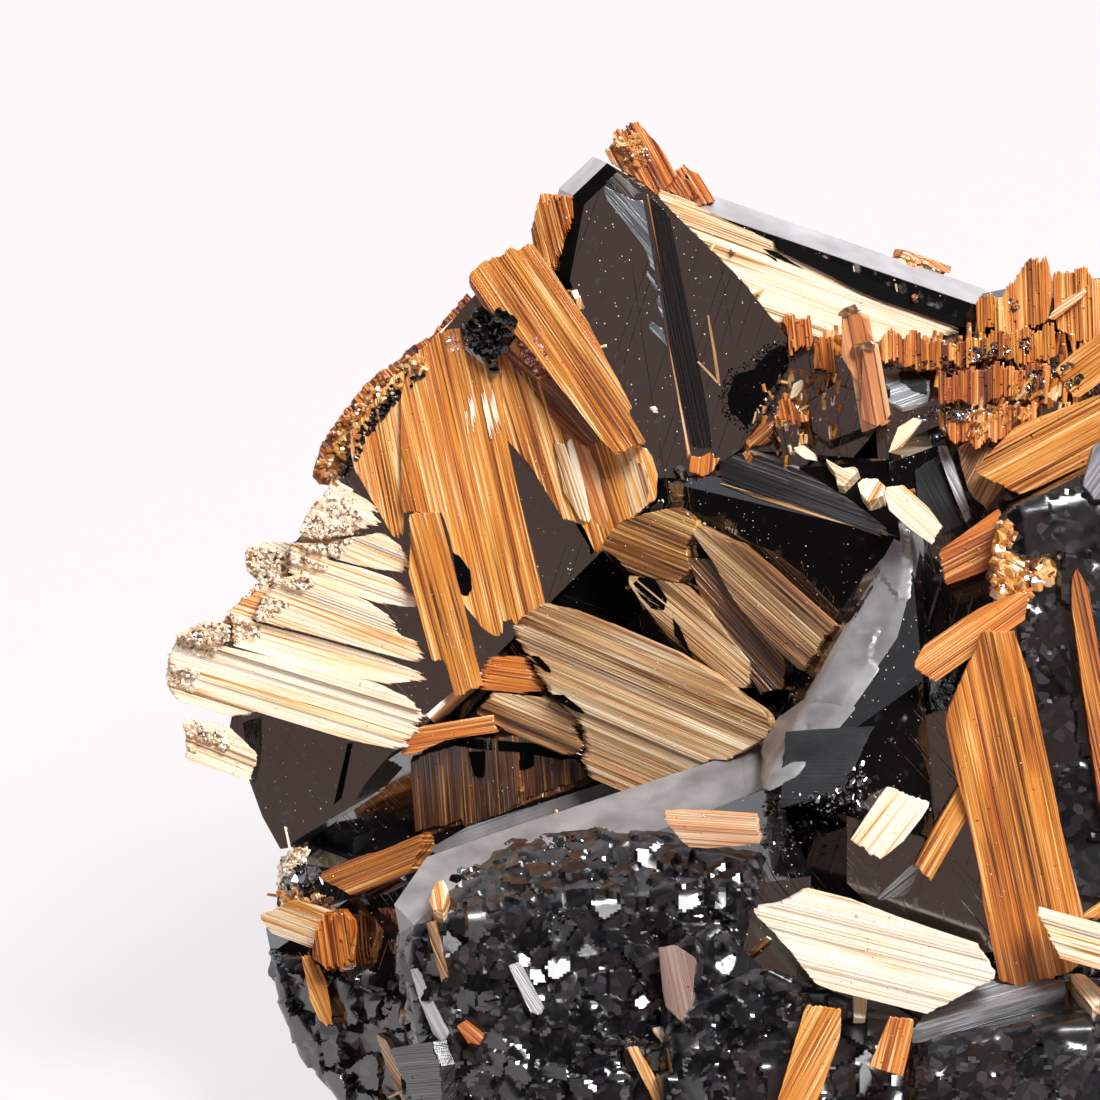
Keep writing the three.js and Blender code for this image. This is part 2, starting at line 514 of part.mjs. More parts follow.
    thin: 0.5, thick: 0.9,
    outline: [[-8.45, 0.0], [-8.0, 0.15], [-6.9, 0.1], [-6.6, -0.9], [-7.8, -1.0], [-8.3, -0.6]],
  },
  {
    name: 'left_low_stub', finish: CREAM, grain: -22, front: plane(-0.35), laths: 4,
    thin: 0.5, thick: 0.85,
    outline: [[-10.1, -4.8], [-9.8, -4.75], [-9.0, -4.95], [-8.2, -5.7], [-8.3, -6.3], [-9.0, -6.1],
      [-10.0, -5.8]],
  },
  {
    name: 'middle_sheet', finish: AMBER, grain: -23, front: centrePlane, laths: 8,
    thin: 0.2, thick: 0.5,
    outline: [[-0.9, -2.2], [-0.2, -1.6], [0.6, -1.75], [1.7, -2.15], [3.2, -2.75], [4.6, -3.6],
      [5.9, -4.6], [6.1, -5.1], [4.6, -5.85], [3.9, -6.15], [3.0, -6.7], [2.2, -6.8], [1.3, -6.4],
      [1.0, -5.7], [1.0, -4.8], [0.2, -4.0], [-0.4, -3.1]],
  },
  {
    name: 'middle_under_blade', finish: AMBER, grain: -23, front: plane(0.15, 0.3, 0, -1, -4.5), laths: 4,
    thin: 0.2, thick: 0.45,
    outline: [[-1.95, -4.5], [-1.5, -4.05], [0.0, -4.2], [0.8, -4.85], [0.8, -5.6], [0.2, -5.6]],
  },
  {
    name: 'middle_fringe', finish: ORANGE, grain: -8, front: plane(0.1, 0.2, 0, -1, -3.5), laths: 3,
    thin: 0.2, thick: 0.4,
    outline: [[-2.3, -3.8], [-1.6, -3.05], [-0.7, -3.0], [-0.1, -3.95], [-1.3, -3.85]],
  },
  {
    name: 'middle_curved_blade', finish: ORANGE, grain: 9, front: plane(0.15, 0.05, 0, -3, -5), laths: 3,
    thin: 0.3, thick: 0.5,
    outline: [[-4.15, -5.5], [-3.7, -5.0], [-3.0, -4.8], [-1.6, -4.6], [-1.5, -5.0], [-2.8, -5.15],
      [-3.9, -5.65]],
  },
  {
    name: 'saddle_sheet_brown', finish: BROWN, grain: -22, front: plane(0.25, 0.38, 0, 1.5, 0), laths: 5,
    thin: 0.15, thick: 0.35,
    outline: [[1.45, 0.15], [2.0, 0.7], [2.9, 0.95], [3.6, 1.1], [4.0, 0.7], [3.7, 0.1], [3.8, -0.5],
      [3.5, -0.8], [2.4, -0.6], [1.95, -0.1]],
  },
  {
    name: 'saddle_sheet_tan', finish: AMBER, grain: -40, front: plane(0.25, 0.38, 0, 1.5, 0), laths: 4,
    thin: 0.15, thick: 0.35,
    outline: [[2.3, -0.8], [3.5, -1.0], [3.9, -1.15], [4.7, -2.2], [5.45, -3.1], [5.4, -3.75],
      [4.6, -3.35], [3.6, -2.6], [2.7, -1.4]],
  },
  {
    name: 'saddle_blade', finish: AMBER, grain: -42, front: plane(1.0, 0.55, 0, 4, 0), laths: 5,
    thin: 0.4, thick: 0.8,
    outline: [[4.0, 0.65], [4.6, 0.3], [5.2, 0.05], [6.5, -0.9], [7.2, -1.5], [8.2, -2.4], [8.0, -3.4],
      [7.3, -3.6], [6.3, -2.6], [5.4, -1.4], [4.8, -0.4]],
  },
  {
    name: 'shaded_laths', finish: BROWN, grain: -86, front: plane(-0.1, 0.1, 0.25, -1, -5.5), laths: 6,
    thin: 0.15, thick: 0.5,
    outline: [[-3.8, -5.9], [-2.2, -5.3], [-0.6, -5.2], [0.6, -5.8], [1.2, -6.6], [0.9, -7.7],
      [-1.4, -8.4], [-3.7, -9.2]],
  },
  {
    name: 'twin_prism_left', finish: ORANGE, grain: -80, front: plane(0.9, 0, 0.12, 8.4, 5), laths: 3,
    thin: 0.6, thick: 0.9,
    outline: [[7.9, 6.5], [8.2, 6.7], [8.5, 6.7], [8.75, 5.9], [9.0, 3.5], [8.6, 3.4]],
  },
  {
    name: 'twin_prism_right', finish: ORANGE, grain: -80, front: plane(0.4, 0, 0.12, 9, 5), laths: 2,
    thin: 0.5, thick: 0.8,
    outline: [[8.55, 6.45], [8.95, 6.2], [9.15, 5.6], [9.5, 3.7], [9.1, 3.5], [8.8, 5.2]],
  },
  {
    name: 'saddle_stub_left', finish: ORANGE, grain: -84, front: plane(-0.7), laths: 3,
    thin: 0.4, thick: 0.8,
    outline: [[6.5, 6.4], [7.3, 6.4], [7.3, 5.9], [6.8, 5.3], [6.55, 5.5]],
  },
  {
    name: 'saddle_stub_right', finish: ORANGE, grain: -84, front: plane(-0.6), laths: 3,
    thin: 0.4, thick: 0.7,
    outline: [[7.45, 6.15], [7.85, 6.05], [7.9, 4.9], [7.3, 4.9], [7.4, 5.6]],
  },
  {
    name: 'facet_prism', finish: ORANGE, grain: -78, front: plane(0.25), laths: 3,
    thin: 0.3, thick: 0.5,
    outline: [[6.2, 4.0], [6.6, 4.15], [7.1, 4.0], [7.1, 3.65], [6.2, 3.6]],
  },
  {
    name: 'step_crest_left', finish: AMBER, grain: -88, front: plane(-1.8), laths: 5,
    thin: 0.5, thick: 1.0,
    outline: [[11.9, 6.9], [12.7, 6.85], [12.9, 7.5], [13.3, 7.9], [13.7, 8.1], [13.9, 7.3],
      [13.7, 6.2], [12.9, 6.1], [12.0, 6.1]],
  },
  {
    name: 'step_crest_right', finish: AMBER, grain: -88, front: plane(-1.8), laths: 5,
    thin: 0.5, thick: 1.0,
    outline: [[14.05, 7.0], [14.1, 7.8], [14.7, 7.85], [15.2, 7.5], [16.2, 7.0], [17.4, 6.2],
      [17.2, 5.2], [14.2, 6.1]],
  },
  {
    name: 'step_second', finish: AMBER, grain: -89, front: plane(-0.6), laths: 7,
    thin: 0.3, thick: 0.7,
    outline: [[9.1, 5.75], [9.4, 6.05], [10.9, 5.85], [12.6, 6.0], [13.9, 6.1], [14.0, 5.2],
      [12.6, 5.4], [11.0, 5.1], [9.3, 5.15]],
  },
  {
    name: 'step_third', finish: ORANGE, grain: -90, front: plane(0.6), laths: 6,
    thin: 0.3, thick: 0.7,
    outline: [[10.8, 4.95], [12.2, 5.0], [13.8, 5.1], [13.7, 4.2], [12.2, 4.05], [10.9, 4.05]],
  },
  {
    name: 'step_fourth', finish: ORANGE, grain: -90, front: plane(2.2), laths: 5,
    thin: 0.3, thick: 0.6,
    outline: [[11.0, 3.85], [12.1, 3.9], [13.4, 4.0], [13.4, 3.15], [12.3, 3.0], [11.2, 3.0]],
  },
  {
    name: 'step_tan_blade', finish: AMBER, grain: 36, front: plane(-0.2), laths: 4,
    thin: 0.4, thick: 0.8,
    outline: [[14.1, 5.0], [15.3, 6.05], [16.9, 7.0], [17.6, 6.4], [15.6, 4.9], [14.6, 4.2]],
  },
  {
    name: 'right_blade_upper', finish: AMBER, grain: 28, front: plane(2.9), laths: 4,
    thin: 0.6, thick: 1.1,
    outline: [[11.8, 2.2], [13.0, 3.4], [14.9, 4.1], [16.4, 4.6], [16.6, 3.5], [14.6, 2.2], [13.0, 1.6]],
  },
  {
    name: 'right_blade_lower', finish: ORANGE, grain: 27, front: plane(3.2), laths: 4,
    thin: 0.6, thick: 1.0,
    outline: [[10.8, -0.1], [12.6, 1.2], [14.4, 1.6], [14.6, 0.9], [12.8, -0.2], [11.0, -0.9]],
  },
  {
    name: 'bent_rod_low', finish: CREAM, grain: -42, front: plane(3.9), laths: 2,
    thin: 0.5, thick: 0.7,
    outline: [[9.3, 1.65], [9.8, 1.7], [10.85, 0.7], [10.5, 0.25], [9.5, 1.05]],
  },
  {
    name: 'right_orange_blade', finish: ORANGE, grain: 35, front: plane(6.1), laths: 3,
    thin: 0.5, thick: 0.9,
    outline: [[10.1, -3.2], [10.4, -2.6], [12.0, -1.6], [13.1, -1.2], [13.0, -2.0], [10.7, -3.6]],
  },
  {
    name: 'front_amber_blade', finish: AMBER, grain: -78, front: plane(6.4, 0, 0.03, 12, -7), laths: 5,
    thin: 0.7, thick: 1.3,
    outline: [[11.0, -4.6], [12.0, -2.3], [12.8, -2.3], [13.3, -4], [14.1, -8], [14.9, -11],
      [14.2, -11.6], [13.0, -12.0], [12.3, -11.7], [11.8, -8], [11.0, -5.3]],
  },
  {
    name: 'front_cream_blade', finish: CREAM, grain: -14, front: plane(8.1, 0, 0.05, 9, -11), laths: 5,
    thin: 0.5, thick: 0.9,
    outline: [[5.7, -9.9], [6.4, -9.8], [7.1, -9.4], [8.0, -9.6], [10.0, -10.4], [11.7, -10.9],
      [12.2, -11.7], [11.4, -12.1], [10.3, -12.7], [9.0, -12.4], [7.4, -11.9], [6.6, -10.9]],
  },
  {
    name: 'front_cream_chip', finish: CREAM, grain: 52, front: plane(6.9), laths: 3,
    thin: 0.5, thick: 0.8,
    outline: [[8.35, -8.0], [9.3, -6.6], [10.4, -7.0], [9.9, -7.8], [9.1, -8.45]],
  },
  {
    name: 'front_tan_prism', finish: AMBER, grain: 60, front: plane(6.6), laths: 2,
    thin: 0.5, thick: 0.7,
    outline: [[10.15, -8.7], [11.3, -6.5], [11.75, -6.9], [10.6, -9.1]],
  },
  {
    name: 'front_right_cream', finish: CREAM, grain: -16, front: plane(8.0), laths: 4,
    thin: 0.4, thick: 0.7,
    outline: [[13.5, -9.9], [15.3, -10.4], [17.6, -11.0], [17.8, -12.0], [15.3, -11.6], [14.1, -11.2]],
  },
  {
    name: 'front_low_prism_left', finish: AMBER, grain: 62, front: plane(9.0, 0, -0.05, 6, -14), laths: 3,
    thin: 0.5, thick: 0.9,
    outline: [[6.1, -16.0], [7.1, -12.6], [7.9, -12.7], [7.9, -13.4], [7.0, -16.0]],
  },
  {
    name: 'front_low_prism_right', finish: ORANGE, grain: 76, front: plane(9.4), laths: 3,
    thin: 0.5, thick: 0.8,
    outline: [[8.85, -14.2], [9.4, -12.9], [9.95, -12.9], [9.7, -14.4]],
  },
  {
    name: 'ridge_peach_patch', finish: CREAM, grain: -4, front: plane(6.4, 0.05, 0.2, 4.5, -7.6), laths: 3,
    thin: 0.3, thick: 0.5,
    outline: [[3.2, -7.3], [5.6, -7.35], [5.75, -8.0], [3.9, -8.15]],
  },
  {
    name: 'crag_cream_blade', finish: CREAM, grain: -20, front: plane(0.5, 0.4, 0, -7, -10.5), laths: 4,
    thin: 0.4, thick: 0.7,
    outline: [[-7.8, -10.2], [-7.0, -9.8], [-6.0, -10.1], [-6.45, -11.0], [-7.4, -10.7]],
  },
  {
    name: 'crag_orange_lump', finish: ORANGE, grain: -82, front: plane(1.5, 0.4, 0, -6, -11), laths: 3,
    thin: 0.5, thick: 0.9,
    outline: [[-6.5, -11.5], [-6.4, -10.3], [-5.9, -10.0], [-5.5, -10.4], [-5.6, -11.5]],
  },
  {
    name: 'crag_orange_blade', finish: ORANGE, grain: 22, front: plane(1.2, 0.5, 0, -5.5, -9), laths: 4,
    thin: 0.4, thick: 0.8,
    outline: [[-6.1, -9.0], [-5.4, -8.6], [-4.4, -8.4], [-3.6, -7.9], [-3.9, -8.8], [-5.2, -9.5]],
  },
  {
    name: 'crag_brown_blade', finish: AMBER, grain: -66, front: plane(1.3), laths: 3,
    thin: 0.25, thick: 0.45,
    outline: [[-6.8, -11.3], [-6.4, -11.4], [-6.2, -12.4], [-6.1, -13.2], [-6.5, -12.8]],
  },
];

// Sheets on the broad faces of the crystals behind, in the frame of each face.
const BACK_RUTILE = [
  {
    name: 'back_sheet_upper', on: 'topLeft', finish: AMBER, grain: 66, laths: 7, thin: 0.2, thick: 0.55,
    outline: [[-2.7, -1.6], [-1.2, -2.7], [1.6, -1.9], [2.3, 0.4], [1.5, 2.6], [-0.6, 2.9], [-2.2, 1.4]],
  },
  {
    name: 'back_sheet_left', on: 'left', finish: AMBER, grain: -58, laths: 6, thin: 0.2, thick: 0.5,
    outline: [[-2.3, 1.5], [-0.9, 2.6], [1.2, 1.2], [2.5, -1.5], [0.9, -2.3], [-1.3, -0.6]],
  },
  {
    name: 'back_sheet_middle', on: 'top', finish: CREAM, grain: 8, laths: 6, thin: 0.2, thick: 0.5,
    outline: [[-3.0, -0.9], [2.2, -1.9], [3.1, 0.4], [1.1, 1.8], [-2.4, 1.3], [-3.4, 0.4]],
  },
  {
    name: 'back_sheet_low', on: 'lowRight', finish: AMBER, grain: 62, laths: 6, thin: 0.2, thick: 0.5,
    outline: [[-2.0, -1.7], [0.3, -2.6], [2.1, 0.7], [1.3, 2.4], [-0.9, 2.1]],
  },
  {
    name: 'right_side_sheet', on: 'right', finish: ORANGE, grain: -70, laths: 6, thin: 0.2, thick: 0.5,
    outline: [[-1.9, 1.7], [0.1, 2.4], [1.8, 0.6], [2.1, -1.7], [0.2, -2.2], [-1.2, -0.3]],
  },
].map((piece) => ({
  ...piece,
  front: plane(BACK_CRYSTALS[piece.on].thickness / 2),
  frame: faceFrame(BACK_CRYSTALS[piece.on]),
}));

const specimen = new THREE.Group();

function addPiece(name, solid, finish) {
  const mesh = new THREE.Mesh(toGeometry(solid), new THREE.MeshStandardMaterial(finish));
  mesh.name = name;
  specimen.add(mesh);
}

addPiece('hematite_cluster', hematiteCluster, BLACK);
for (const piece of [...RUTILE, ...BACK_RUTILE]) {
  const free = occupied.reduce((solid, taken) => solid.subtract(taken), sheet(piece));
  addPiece(piece.name, largestBody(free), piece.finish);
  occupied.push(prism(grown(piece.outline, GAP), piece.front, 0, piece.thick + 2 * GAP, piece.frame));
}

// The origin is under the middle of the specimen, on the plane of the sawn base.
const bounds = new THREE.Box3().setFromObject(specimen);
const middle = bounds.getCenter(new THREE.Vector3());
specimen.position.set(-middle.x, -middle.y, -bounds.min.z);

export default specimen;
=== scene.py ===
"""Rutile on hematite: black mirror-bright crystals with golden, striated sheets and blades of rutile."""

import json
import math
import random

import bpy
import numpy as np
from mathutils import Matrix, Quaternion, Vector, noise
from mathutils.bvhtree import BVHTree


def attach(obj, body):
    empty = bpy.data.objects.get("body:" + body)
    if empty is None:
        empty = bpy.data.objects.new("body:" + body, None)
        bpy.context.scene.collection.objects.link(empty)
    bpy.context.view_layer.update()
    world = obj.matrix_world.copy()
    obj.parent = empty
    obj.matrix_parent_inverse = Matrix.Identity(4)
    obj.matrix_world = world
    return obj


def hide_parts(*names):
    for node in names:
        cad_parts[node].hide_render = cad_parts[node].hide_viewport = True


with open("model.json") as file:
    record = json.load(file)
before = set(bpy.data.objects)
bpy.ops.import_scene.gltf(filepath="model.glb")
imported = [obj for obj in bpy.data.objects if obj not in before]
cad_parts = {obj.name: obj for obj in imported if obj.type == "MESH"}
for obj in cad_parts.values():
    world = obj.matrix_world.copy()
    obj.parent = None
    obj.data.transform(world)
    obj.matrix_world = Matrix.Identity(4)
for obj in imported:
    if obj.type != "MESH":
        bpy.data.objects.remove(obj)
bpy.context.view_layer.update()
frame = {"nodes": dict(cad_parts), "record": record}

MM = 0.001
ELEVATION = math.radians(25)                # how far the viewer looks down on the specimen
VIEW_MIDDLE = Vector((-5.4, 2.68, 15.4))    # the middle of the view, in mm
PIXELS = 1100                               # across the view, and up it
PER_MM = 36                                 # pixels to the mm
MARGIN = 20                                 # pixels past the photo's edge that still count as shown
FAR = 60                                    # mm, past everything
CLEAR = 0.05                                # mm off a face, where a ray that leaves it starts
RUTILE_IOR = 2.6                            # both bend light so much that they gleam like metal
HEMATITE_IOR = 2.95


def view_from(azimuth):
    """A viewer's across, upward and toward, who walked round the specimen by some degrees."""
    around = math.radians(azimuth)
    level = math.cos(ELEVATION)
    toward = Vector((math.sin(around) * level, -math.cos(around) * level, math.sin(ELEVATION)))
    across = Vector((math.cos(around), math.sin(around), 0))
    return across, toward.cross(across), toward


FRONT = view_from(0)
RIGHT = view_from(90)
BACK = view_from(180)
LEFT = view_from(270)
ACROSS, UPWARD, TOWARD = FRONT

hematite_node = frame["nodes"]["hematite_cluster"]


# Selecting and finishing pieces.

def only(piece):
    """Selects one piece and nothing else."""
    bpy.ops.object.select_all(action="DESELECT")
    piece.select_set(True)
    bpy.context.view_layer.objects.active = piece


def joined(copies, name):
    """Joins copies into one piece of that name."""
    bpy.ops.object.select_all(action="DESELECT")
    for copy in copies:
        copy.select_set(True)
    bpy.context.view_layer.objects.active = copies[0]
    if len(copies) > 1:
        bpy.ops.object.join()
    piece = bpy.context.view_layer.objects.active
    piece.name = name
    piece.data.name = name
    return piece


def settled(piece, material, *nodes, slot=None):
    """Gives a finished piece its material and body, and hides the nodes that it stands for. The slot is not
    used.
    """
    piece.data.materials.clear()
    piece.data.materials.append(material)
    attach(piece, "root")
    slot or SLOTS.get(material.name, "hematite")
    if nodes:
        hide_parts(*nodes)
    return piece


def pick_edges(piece, wanted):
    """In edit mode, selects the edges whose two ends satisfy wanted."""
    bpy.ops.mesh.select_mode(type="EDGE")
    bpy.ops.mesh.select_all(action="DESELECT")
    bpy.ops.object.mode_set(mode="OBJECT")
    places = [vertex.co for vertex in piece.data.vertices]
    for edge in piece.data.edges:
        edge.select = all(wanted(places[k]) for k in edge.vertices)
    bpy.ops.object.mode_set(mode="EDIT")


# Materials.

def linear(code):
    """An sRGB hex colour as linear RGBA."""
    shares = [int(code[k:k + 2], 16) / 255 for k in (1, 3, 5)]
    return [s / 12.92 if s <= 0.04045 else ((s + 0.055) / 1.055) ** 2.4 for s in shares] + [1.0]


def add(tree, kind, inputs=None, stops=(), **settings):
    """Adds a node with its settings, and sets or links its inputs.

    A colour ramp's stops are given as (place, hex colour).
    """
    node = tree.nodes.new(kind)
    for name, value in settings.items():
        setattr(node, name, value)
    for name, value in (inputs or {}).items():
        if isinstance(value, bpy.types.NodeSocket):
            tree.links.new(value, node.inputs[name])
        else:
            node.inputs[name].default_value = value
    # A new ramp has two stops already.
    for further in stops[2:]:
        node.color_ramp.elements.new(0.5)
    for k, (place, code) in enumerate(stops):
        node.color_ramp.elements[k].position = place
        node.color_ramp.elements[k].color = linear(code)
    return node


def new_material(name):
    """A material with an empty principled surface: the material, its tree and the shader."""
    material = bpy.data.materials.new(name)
    material.use_nodes = True
    return material, material.node_tree, material.node_tree.nodes["Principled BSDF"]


# Patterns drawn out along the grain: how many changes to the mm along it and across it.
COLOUR_ZONES = (0.25, 3.2, 1)
FINE_LINES = (0.15, 34, 1)
HAIRLINES = (0.3, 19, 1)
FLUSHED_BUNDLES = (0.12, 4.5, 1)
SWING = 0.7              # how much of its whole range a full streak shifts the shade


def striated(name, stops, streaks=0.8, roughness=0.3, anisotropic=0.6, level=0.5, hair=0.3,
             flush=None, groove=0.35):
    """Natural crystals grown as bundles of laths: silky, with fine grooves lengthwise.

    The map "grain" has mm along the lath and across it, and "tone" is each lath's own shade.
    Streaks, hair and groove are the strengths of the colour zones, the hairlines and the relief,
    and flush is a colour that reddens some bundles.
    """
    material, tree, surface = new_material(name)
    grain = add(tree, "ShaderNodeUVMap", uv_map="grain").outputs["UV"]
    tone = add(tree, "ShaderNodeAttribute", attribute_name="tone").outputs["Fac"]
    # Colour zones about 0.3 mm wide that run for some mm, with fine lines among them.
    patterns = []
    for changes, detail in ((COLOUR_ZONES, 1.0), (FINE_LINES, 0.0), (HAIRLINES, 0.0)):
        drawn_out = add(tree, "ShaderNodeMapping", {"Vector": grain, "Scale": changes})
        patterns.append(add(tree, "ShaderNodeTexNoise", {
            "Vector": drawn_out.outputs["Vector"], "Scale": 1.0, "Detail": detail,
        }, noise_dimensions="2D").outputs["Fac"])
    broad, narrow, hairs = patterns
    shifts = [
        add(tree, "ShaderNodeMath", {0: pattern, 1: SWING * streaks, 2: -SWING / 2 * streaks},
            operation="MULTIPLY_ADD").outputs[0]
        for pattern in (broad, narrow)
    ]
    both = add(tree, "ShaderNodeMath", {0: shifts[0], 1: shifts[1]}).outputs[0]
    # Hairlines: painted shade, dark where a groove is deep, and a painted highlight, pale where a lath's
    # edge stands up.
    dark = add(tree, "ShaderNodeMapRange", {
        "Value": hairs, "From Min": 0.3, "From Max": 0.35, "To Min": -hair, "To Max": 0.0,
    }).outputs["Result"]
    pale = add(tree, "ShaderNodeMapRange", {
        "Value": hairs, "From Min": 0.66, "From Max": 0.71, "To Min": 0.0, "To Max": hair * 1.2,
    }).outputs["Result"]
    hairline = add(tree, "ShaderNodeMath", {0: dark, 1: pale}).outputs[0]
    drawn_on = add(tree, "ShaderNodeMath", {0: both, 1: hairline}).outputs[0]
    shade = add(tree, "ShaderNodeMath", {0: drawn_on, 1: tone}, use_clamp=True).outputs[0]
    colour = add(tree, "ShaderNodeValToRGB", {"Fac": shade}, stops).outputs["Color"]
    if flush:
        # Some bundles have a redder flush.
        bundles = add(tree, "ShaderNodeMapping", {
            "Vector": grain, "Scale": FLUSHED_BUNDLES, "Location": (7, 3, 0),
        })
        redder = add(tree, "ShaderNodeTexNoise", {
            "Vector": bundles.outputs["Vector"], "Scale": 1.0, "Detail": 1.0,
        }, noise_dimensions="2D").outputs["Fac"]
        share = add(tree, "ShaderNodeMapRange", {
            "Value": redder, "From Min": 0.5, "From Max": 0.68, "To Min": 0.0, "To Max": 0.6,
        }).outputs["Result"]
        colour = add(tree, "ShaderNodeMix", {0: share, 6: colour, 7: linear(flush)},
                     data_type="RGBA", blend_type="MULTIPLY").outputs[2]
    tree.links.new(colour, surface.inputs["Base Color"])
    # Growth grooves, drawn 0.03 mm apart, about the finest that can show.
    height = add(tree, "ShaderNodeMath", {0: narrow, 1: hairline}).outputs[0]
    grooves = add(tree, "ShaderNodeBump", {"Height": height, "Strength": groove, "Distance": 0.03 * MM})
    tree.links.new(grooves.outputs["Normal"], surface.inputs["Normal"])
    along = add(tree, "ShaderNodeTangent", direction_type="UV_MAP", uv_map="grain")
    tree.links.new(along.outputs["Tangent"], surface.inputs["Tangent"])
    surface.inputs["IOR"].default_value = RUTILE_IOR
    surface.inputs["Roughness"].default_value = roughness
    surface.inputs["Anisotropic"].default_value = anisotropic
    surface.inputs["Specular IOR Level"].default_value = level
    return material


# Growth lines on the mirror faces: their turn in degrees, how many changes to the mm across them,
# and the two values of a patchy noise between which they fade in.
GROWTH_LINES = ((-20, 2.6, 0.42, 0.55), (44, 3.6, 0.6, 0.48), (11, 1.5, 0.4, 0.6))
ALONG_LINES = (0.09, 0.06)    # changes to the mm along them
PATCHES = 0.22                # changes to the mm in where the lines show
DULL_SPOTS = 2.4              # and in how dull a face is
BLOTCHES = 0.9                # and in the coat of an etched face
SPECK_SPACING = 1 / 3.3       # mm between specks of dust


def hematite_bright():
    """Natural hematite faces: a black mirror with growth lines, and dust that dulls it in spots."""
    material, tree, surface = new_material("hematite_mirror_face")
    place = add(tree, "ShaderNodeTexCoord").outputs["Object"]
    # Growth steps are layers through the crystal: they meet each face in long parallel lines.
    patches = add(tree, "ShaderNodeTexNoise", {
        "Vector": place, "Scale": PATCHES / MM, "Detail": 1.0,
    }).outputs["Fac"]
    relief = 0.0
    for turn, count, low, high in GROWTH_LINES:
        turned = add(tree, "ShaderNodeMapping", {
            "Vector": place, "Rotation": (0.0, math.radians(turn), 0.0),
        }).outputs["Vector"]
        layers = add(tree, "ShaderNodeMapping", {
            "Vector": turned, "Scale": [changes / MM for changes in (count, *ALONG_LINES)],
        }).outputs["Vector"]
        lines = add(tree, "ShaderNodeTexNoise", {
            "Vector": layers, "Scale": 1.0, "Detail": 0.0,
        }).outputs["Fac"]
        off = add(tree, "ShaderNodeMath", {0: lines, 1: 0.5}, operation="SUBTRACT").outputs[0]
        size = add(tree, "ShaderNodeMath", {0: off}, operation="ABSOLUTE").outputs[0]
        step = add(tree, "ShaderNodeMapRange", {"Value": size, "From Min": 0.0, "From Max": 0.012})
        here = add(tree, "ShaderNodeMapRange", {"Value": patches, "From Min": low, "From Max": high})
        part = add(tree, "ShaderNodeMath", {0: step.outputs["Result"], 1: here.outputs["Result"]},
                   operation="MULTIPLY").outputs[0]
        relief = add(tree, "ShaderNodeMath", {0: part, 1: relief}).outputs[0]
    bump = add(tree, "ShaderNodeBump", {"Height": relief, "Strength": 0.16, "Distance": 0.02 * MM})
    tree.links.new(bump.outputs["Normal"], surface.inputs["Normal"])
    spots = add(tree, "ShaderNodeTexNoise", {
        "Vector": place, "Scale": DULL_SPOTS / MM, "Detail": 2.0,
    }).outputs["Fac"]
    dull = add(tree, "ShaderNodeMapRange", {
        "Value": spots, "From Min": 0.58, "From Max": 0.75, "To Min": 0.07, "To Max": 0.3,
    }).outputs["Result"]
    # Single specks of pale dust, about 0.05 mm across, 0.3 mm apart.
    grains = add(tree, "ShaderNodeTexVoronoi", {"Vector": place, "Scale": 1 / (SPECK_SPACING * MM)})
    speck = add(tree, "ShaderNodeMath", {0: grains.outputs["Distance"], 1: 0.07},
                operation="LESS_THAN").outputs[0]
    colour = add(tree, "ShaderNodeMix", {0: speck, 6: linear("#0c0b0d"), 7: linear("#cfc1aa")},
                 data_type="RGBA").outputs[2]
    tree.links.new(colour, surface.inputs["Base Color"])
    rough = add(tree, "ShaderNodeMath", {0: speck, 1: dull}, operation="MAXIMUM").outputs[0]
    tree.links.new(rough, surface.inputs["Roughness"])
    surface.inputs["IOR"].default_value = HEMATITE_IOR
    return material


def stone_grains(name, stops, grain, roughness, ior):
    """Broken or tiny natural crystals: each grain, some tenths of a mm across, has its own shade."""
    material, tree, surface = new_material(name)
    place = add(tree, "ShaderNodeTexCoord").outputs["Object"]
    cells = add(tree, "ShaderNodeTexVoronoi", {"Vector": place, "Scale": 1 / (grain * MM)})
    own = add(tree, "ShaderNodeSeparateColor", {"Color": cells.outputs["Color"]}).outputs["Red"]
    colour = add(tree, "ShaderNodeValToRGB", {"Fac": own}, stops).outputs["Color"]
    tree.links.new(colour, surface.inputs["Base Color"])
    surface.inputs["Roughness"].default_value = roughness
    surface.inputs["IOR"].default_value = ior
    return material


def hematite_etched_face(name, stops, roughness=0.42, ior=HEMATITE_IOR):
    """Hematite faces in flat greys, satin and a little blotched: pale greys are painted reflection of the
    bright room, dark ones painted shade.
    """
    material, tree, surface = new_material(name)
    place = add(tree, "ShaderNodeTexCoord").outputs["Object"]
    blotches = add(tree, "ShaderNodeTexNoise", {
        "Vector": place, "Scale": BLOTCHES / MM, "Detail": 4.0,
    }).outputs["Fac"]
    spread = add(tree, "ShaderNodeMapRange", {"Value": blotches, "From Min": 0.3, "From Max": 0.7})
    tones = add(tree, "ShaderNodeValToRGB", {"Fac": spread.outputs["Result"]}, stops)
    tree.links.new(tones.outputs["Color"], surface.inputs["Base Color"])
    bump = add(tree, "ShaderNodeBump", {"Height": blotches, "Strength": 0.3, "Distance": 0.1 * MM})
    tree.links.new(bump.outputs["Normal"], surface.inputs["Normal"])
    surface.inputs["Roughness"].default_value = roughness
    surface.inputs["IOR"].default_value = ior
    return material


hematite_face = hematite_bright()
# Painted reflection: hematite in a flat mid grey, satin, standing for the bright room that the ridge's crest
# mirrors. Grains in the notches take the same grey.
hematite_crest = hematite_etched_face("hematite_crest_painted_reflection", [
    (0.0, "#565354"), (0.5, "#747172"), (1.0, "#928d8e"),
])
# Painted shade: a slate grey copy of the flat grey hematite for faces in the shade, with next to no gleam.
hematite_slate = hematite_etched_face("hematite_slate_painted_shade", [
    (0.0, "#17181a"), (0.5, "#242628"), (1.0, "#34373a"),
], ior=1.5)
# Painted reflection on the arm's bevel: pale grey, with a dull gleam, standing for the bright room that it
# mirrors.
hematite_pale = hematite_etched_face("hematite_pale_painted_reflection", [
    (0.0, "#8c8889"), (0.5, "#a09c9d"), (1.0, "#b5b1b2"),
])
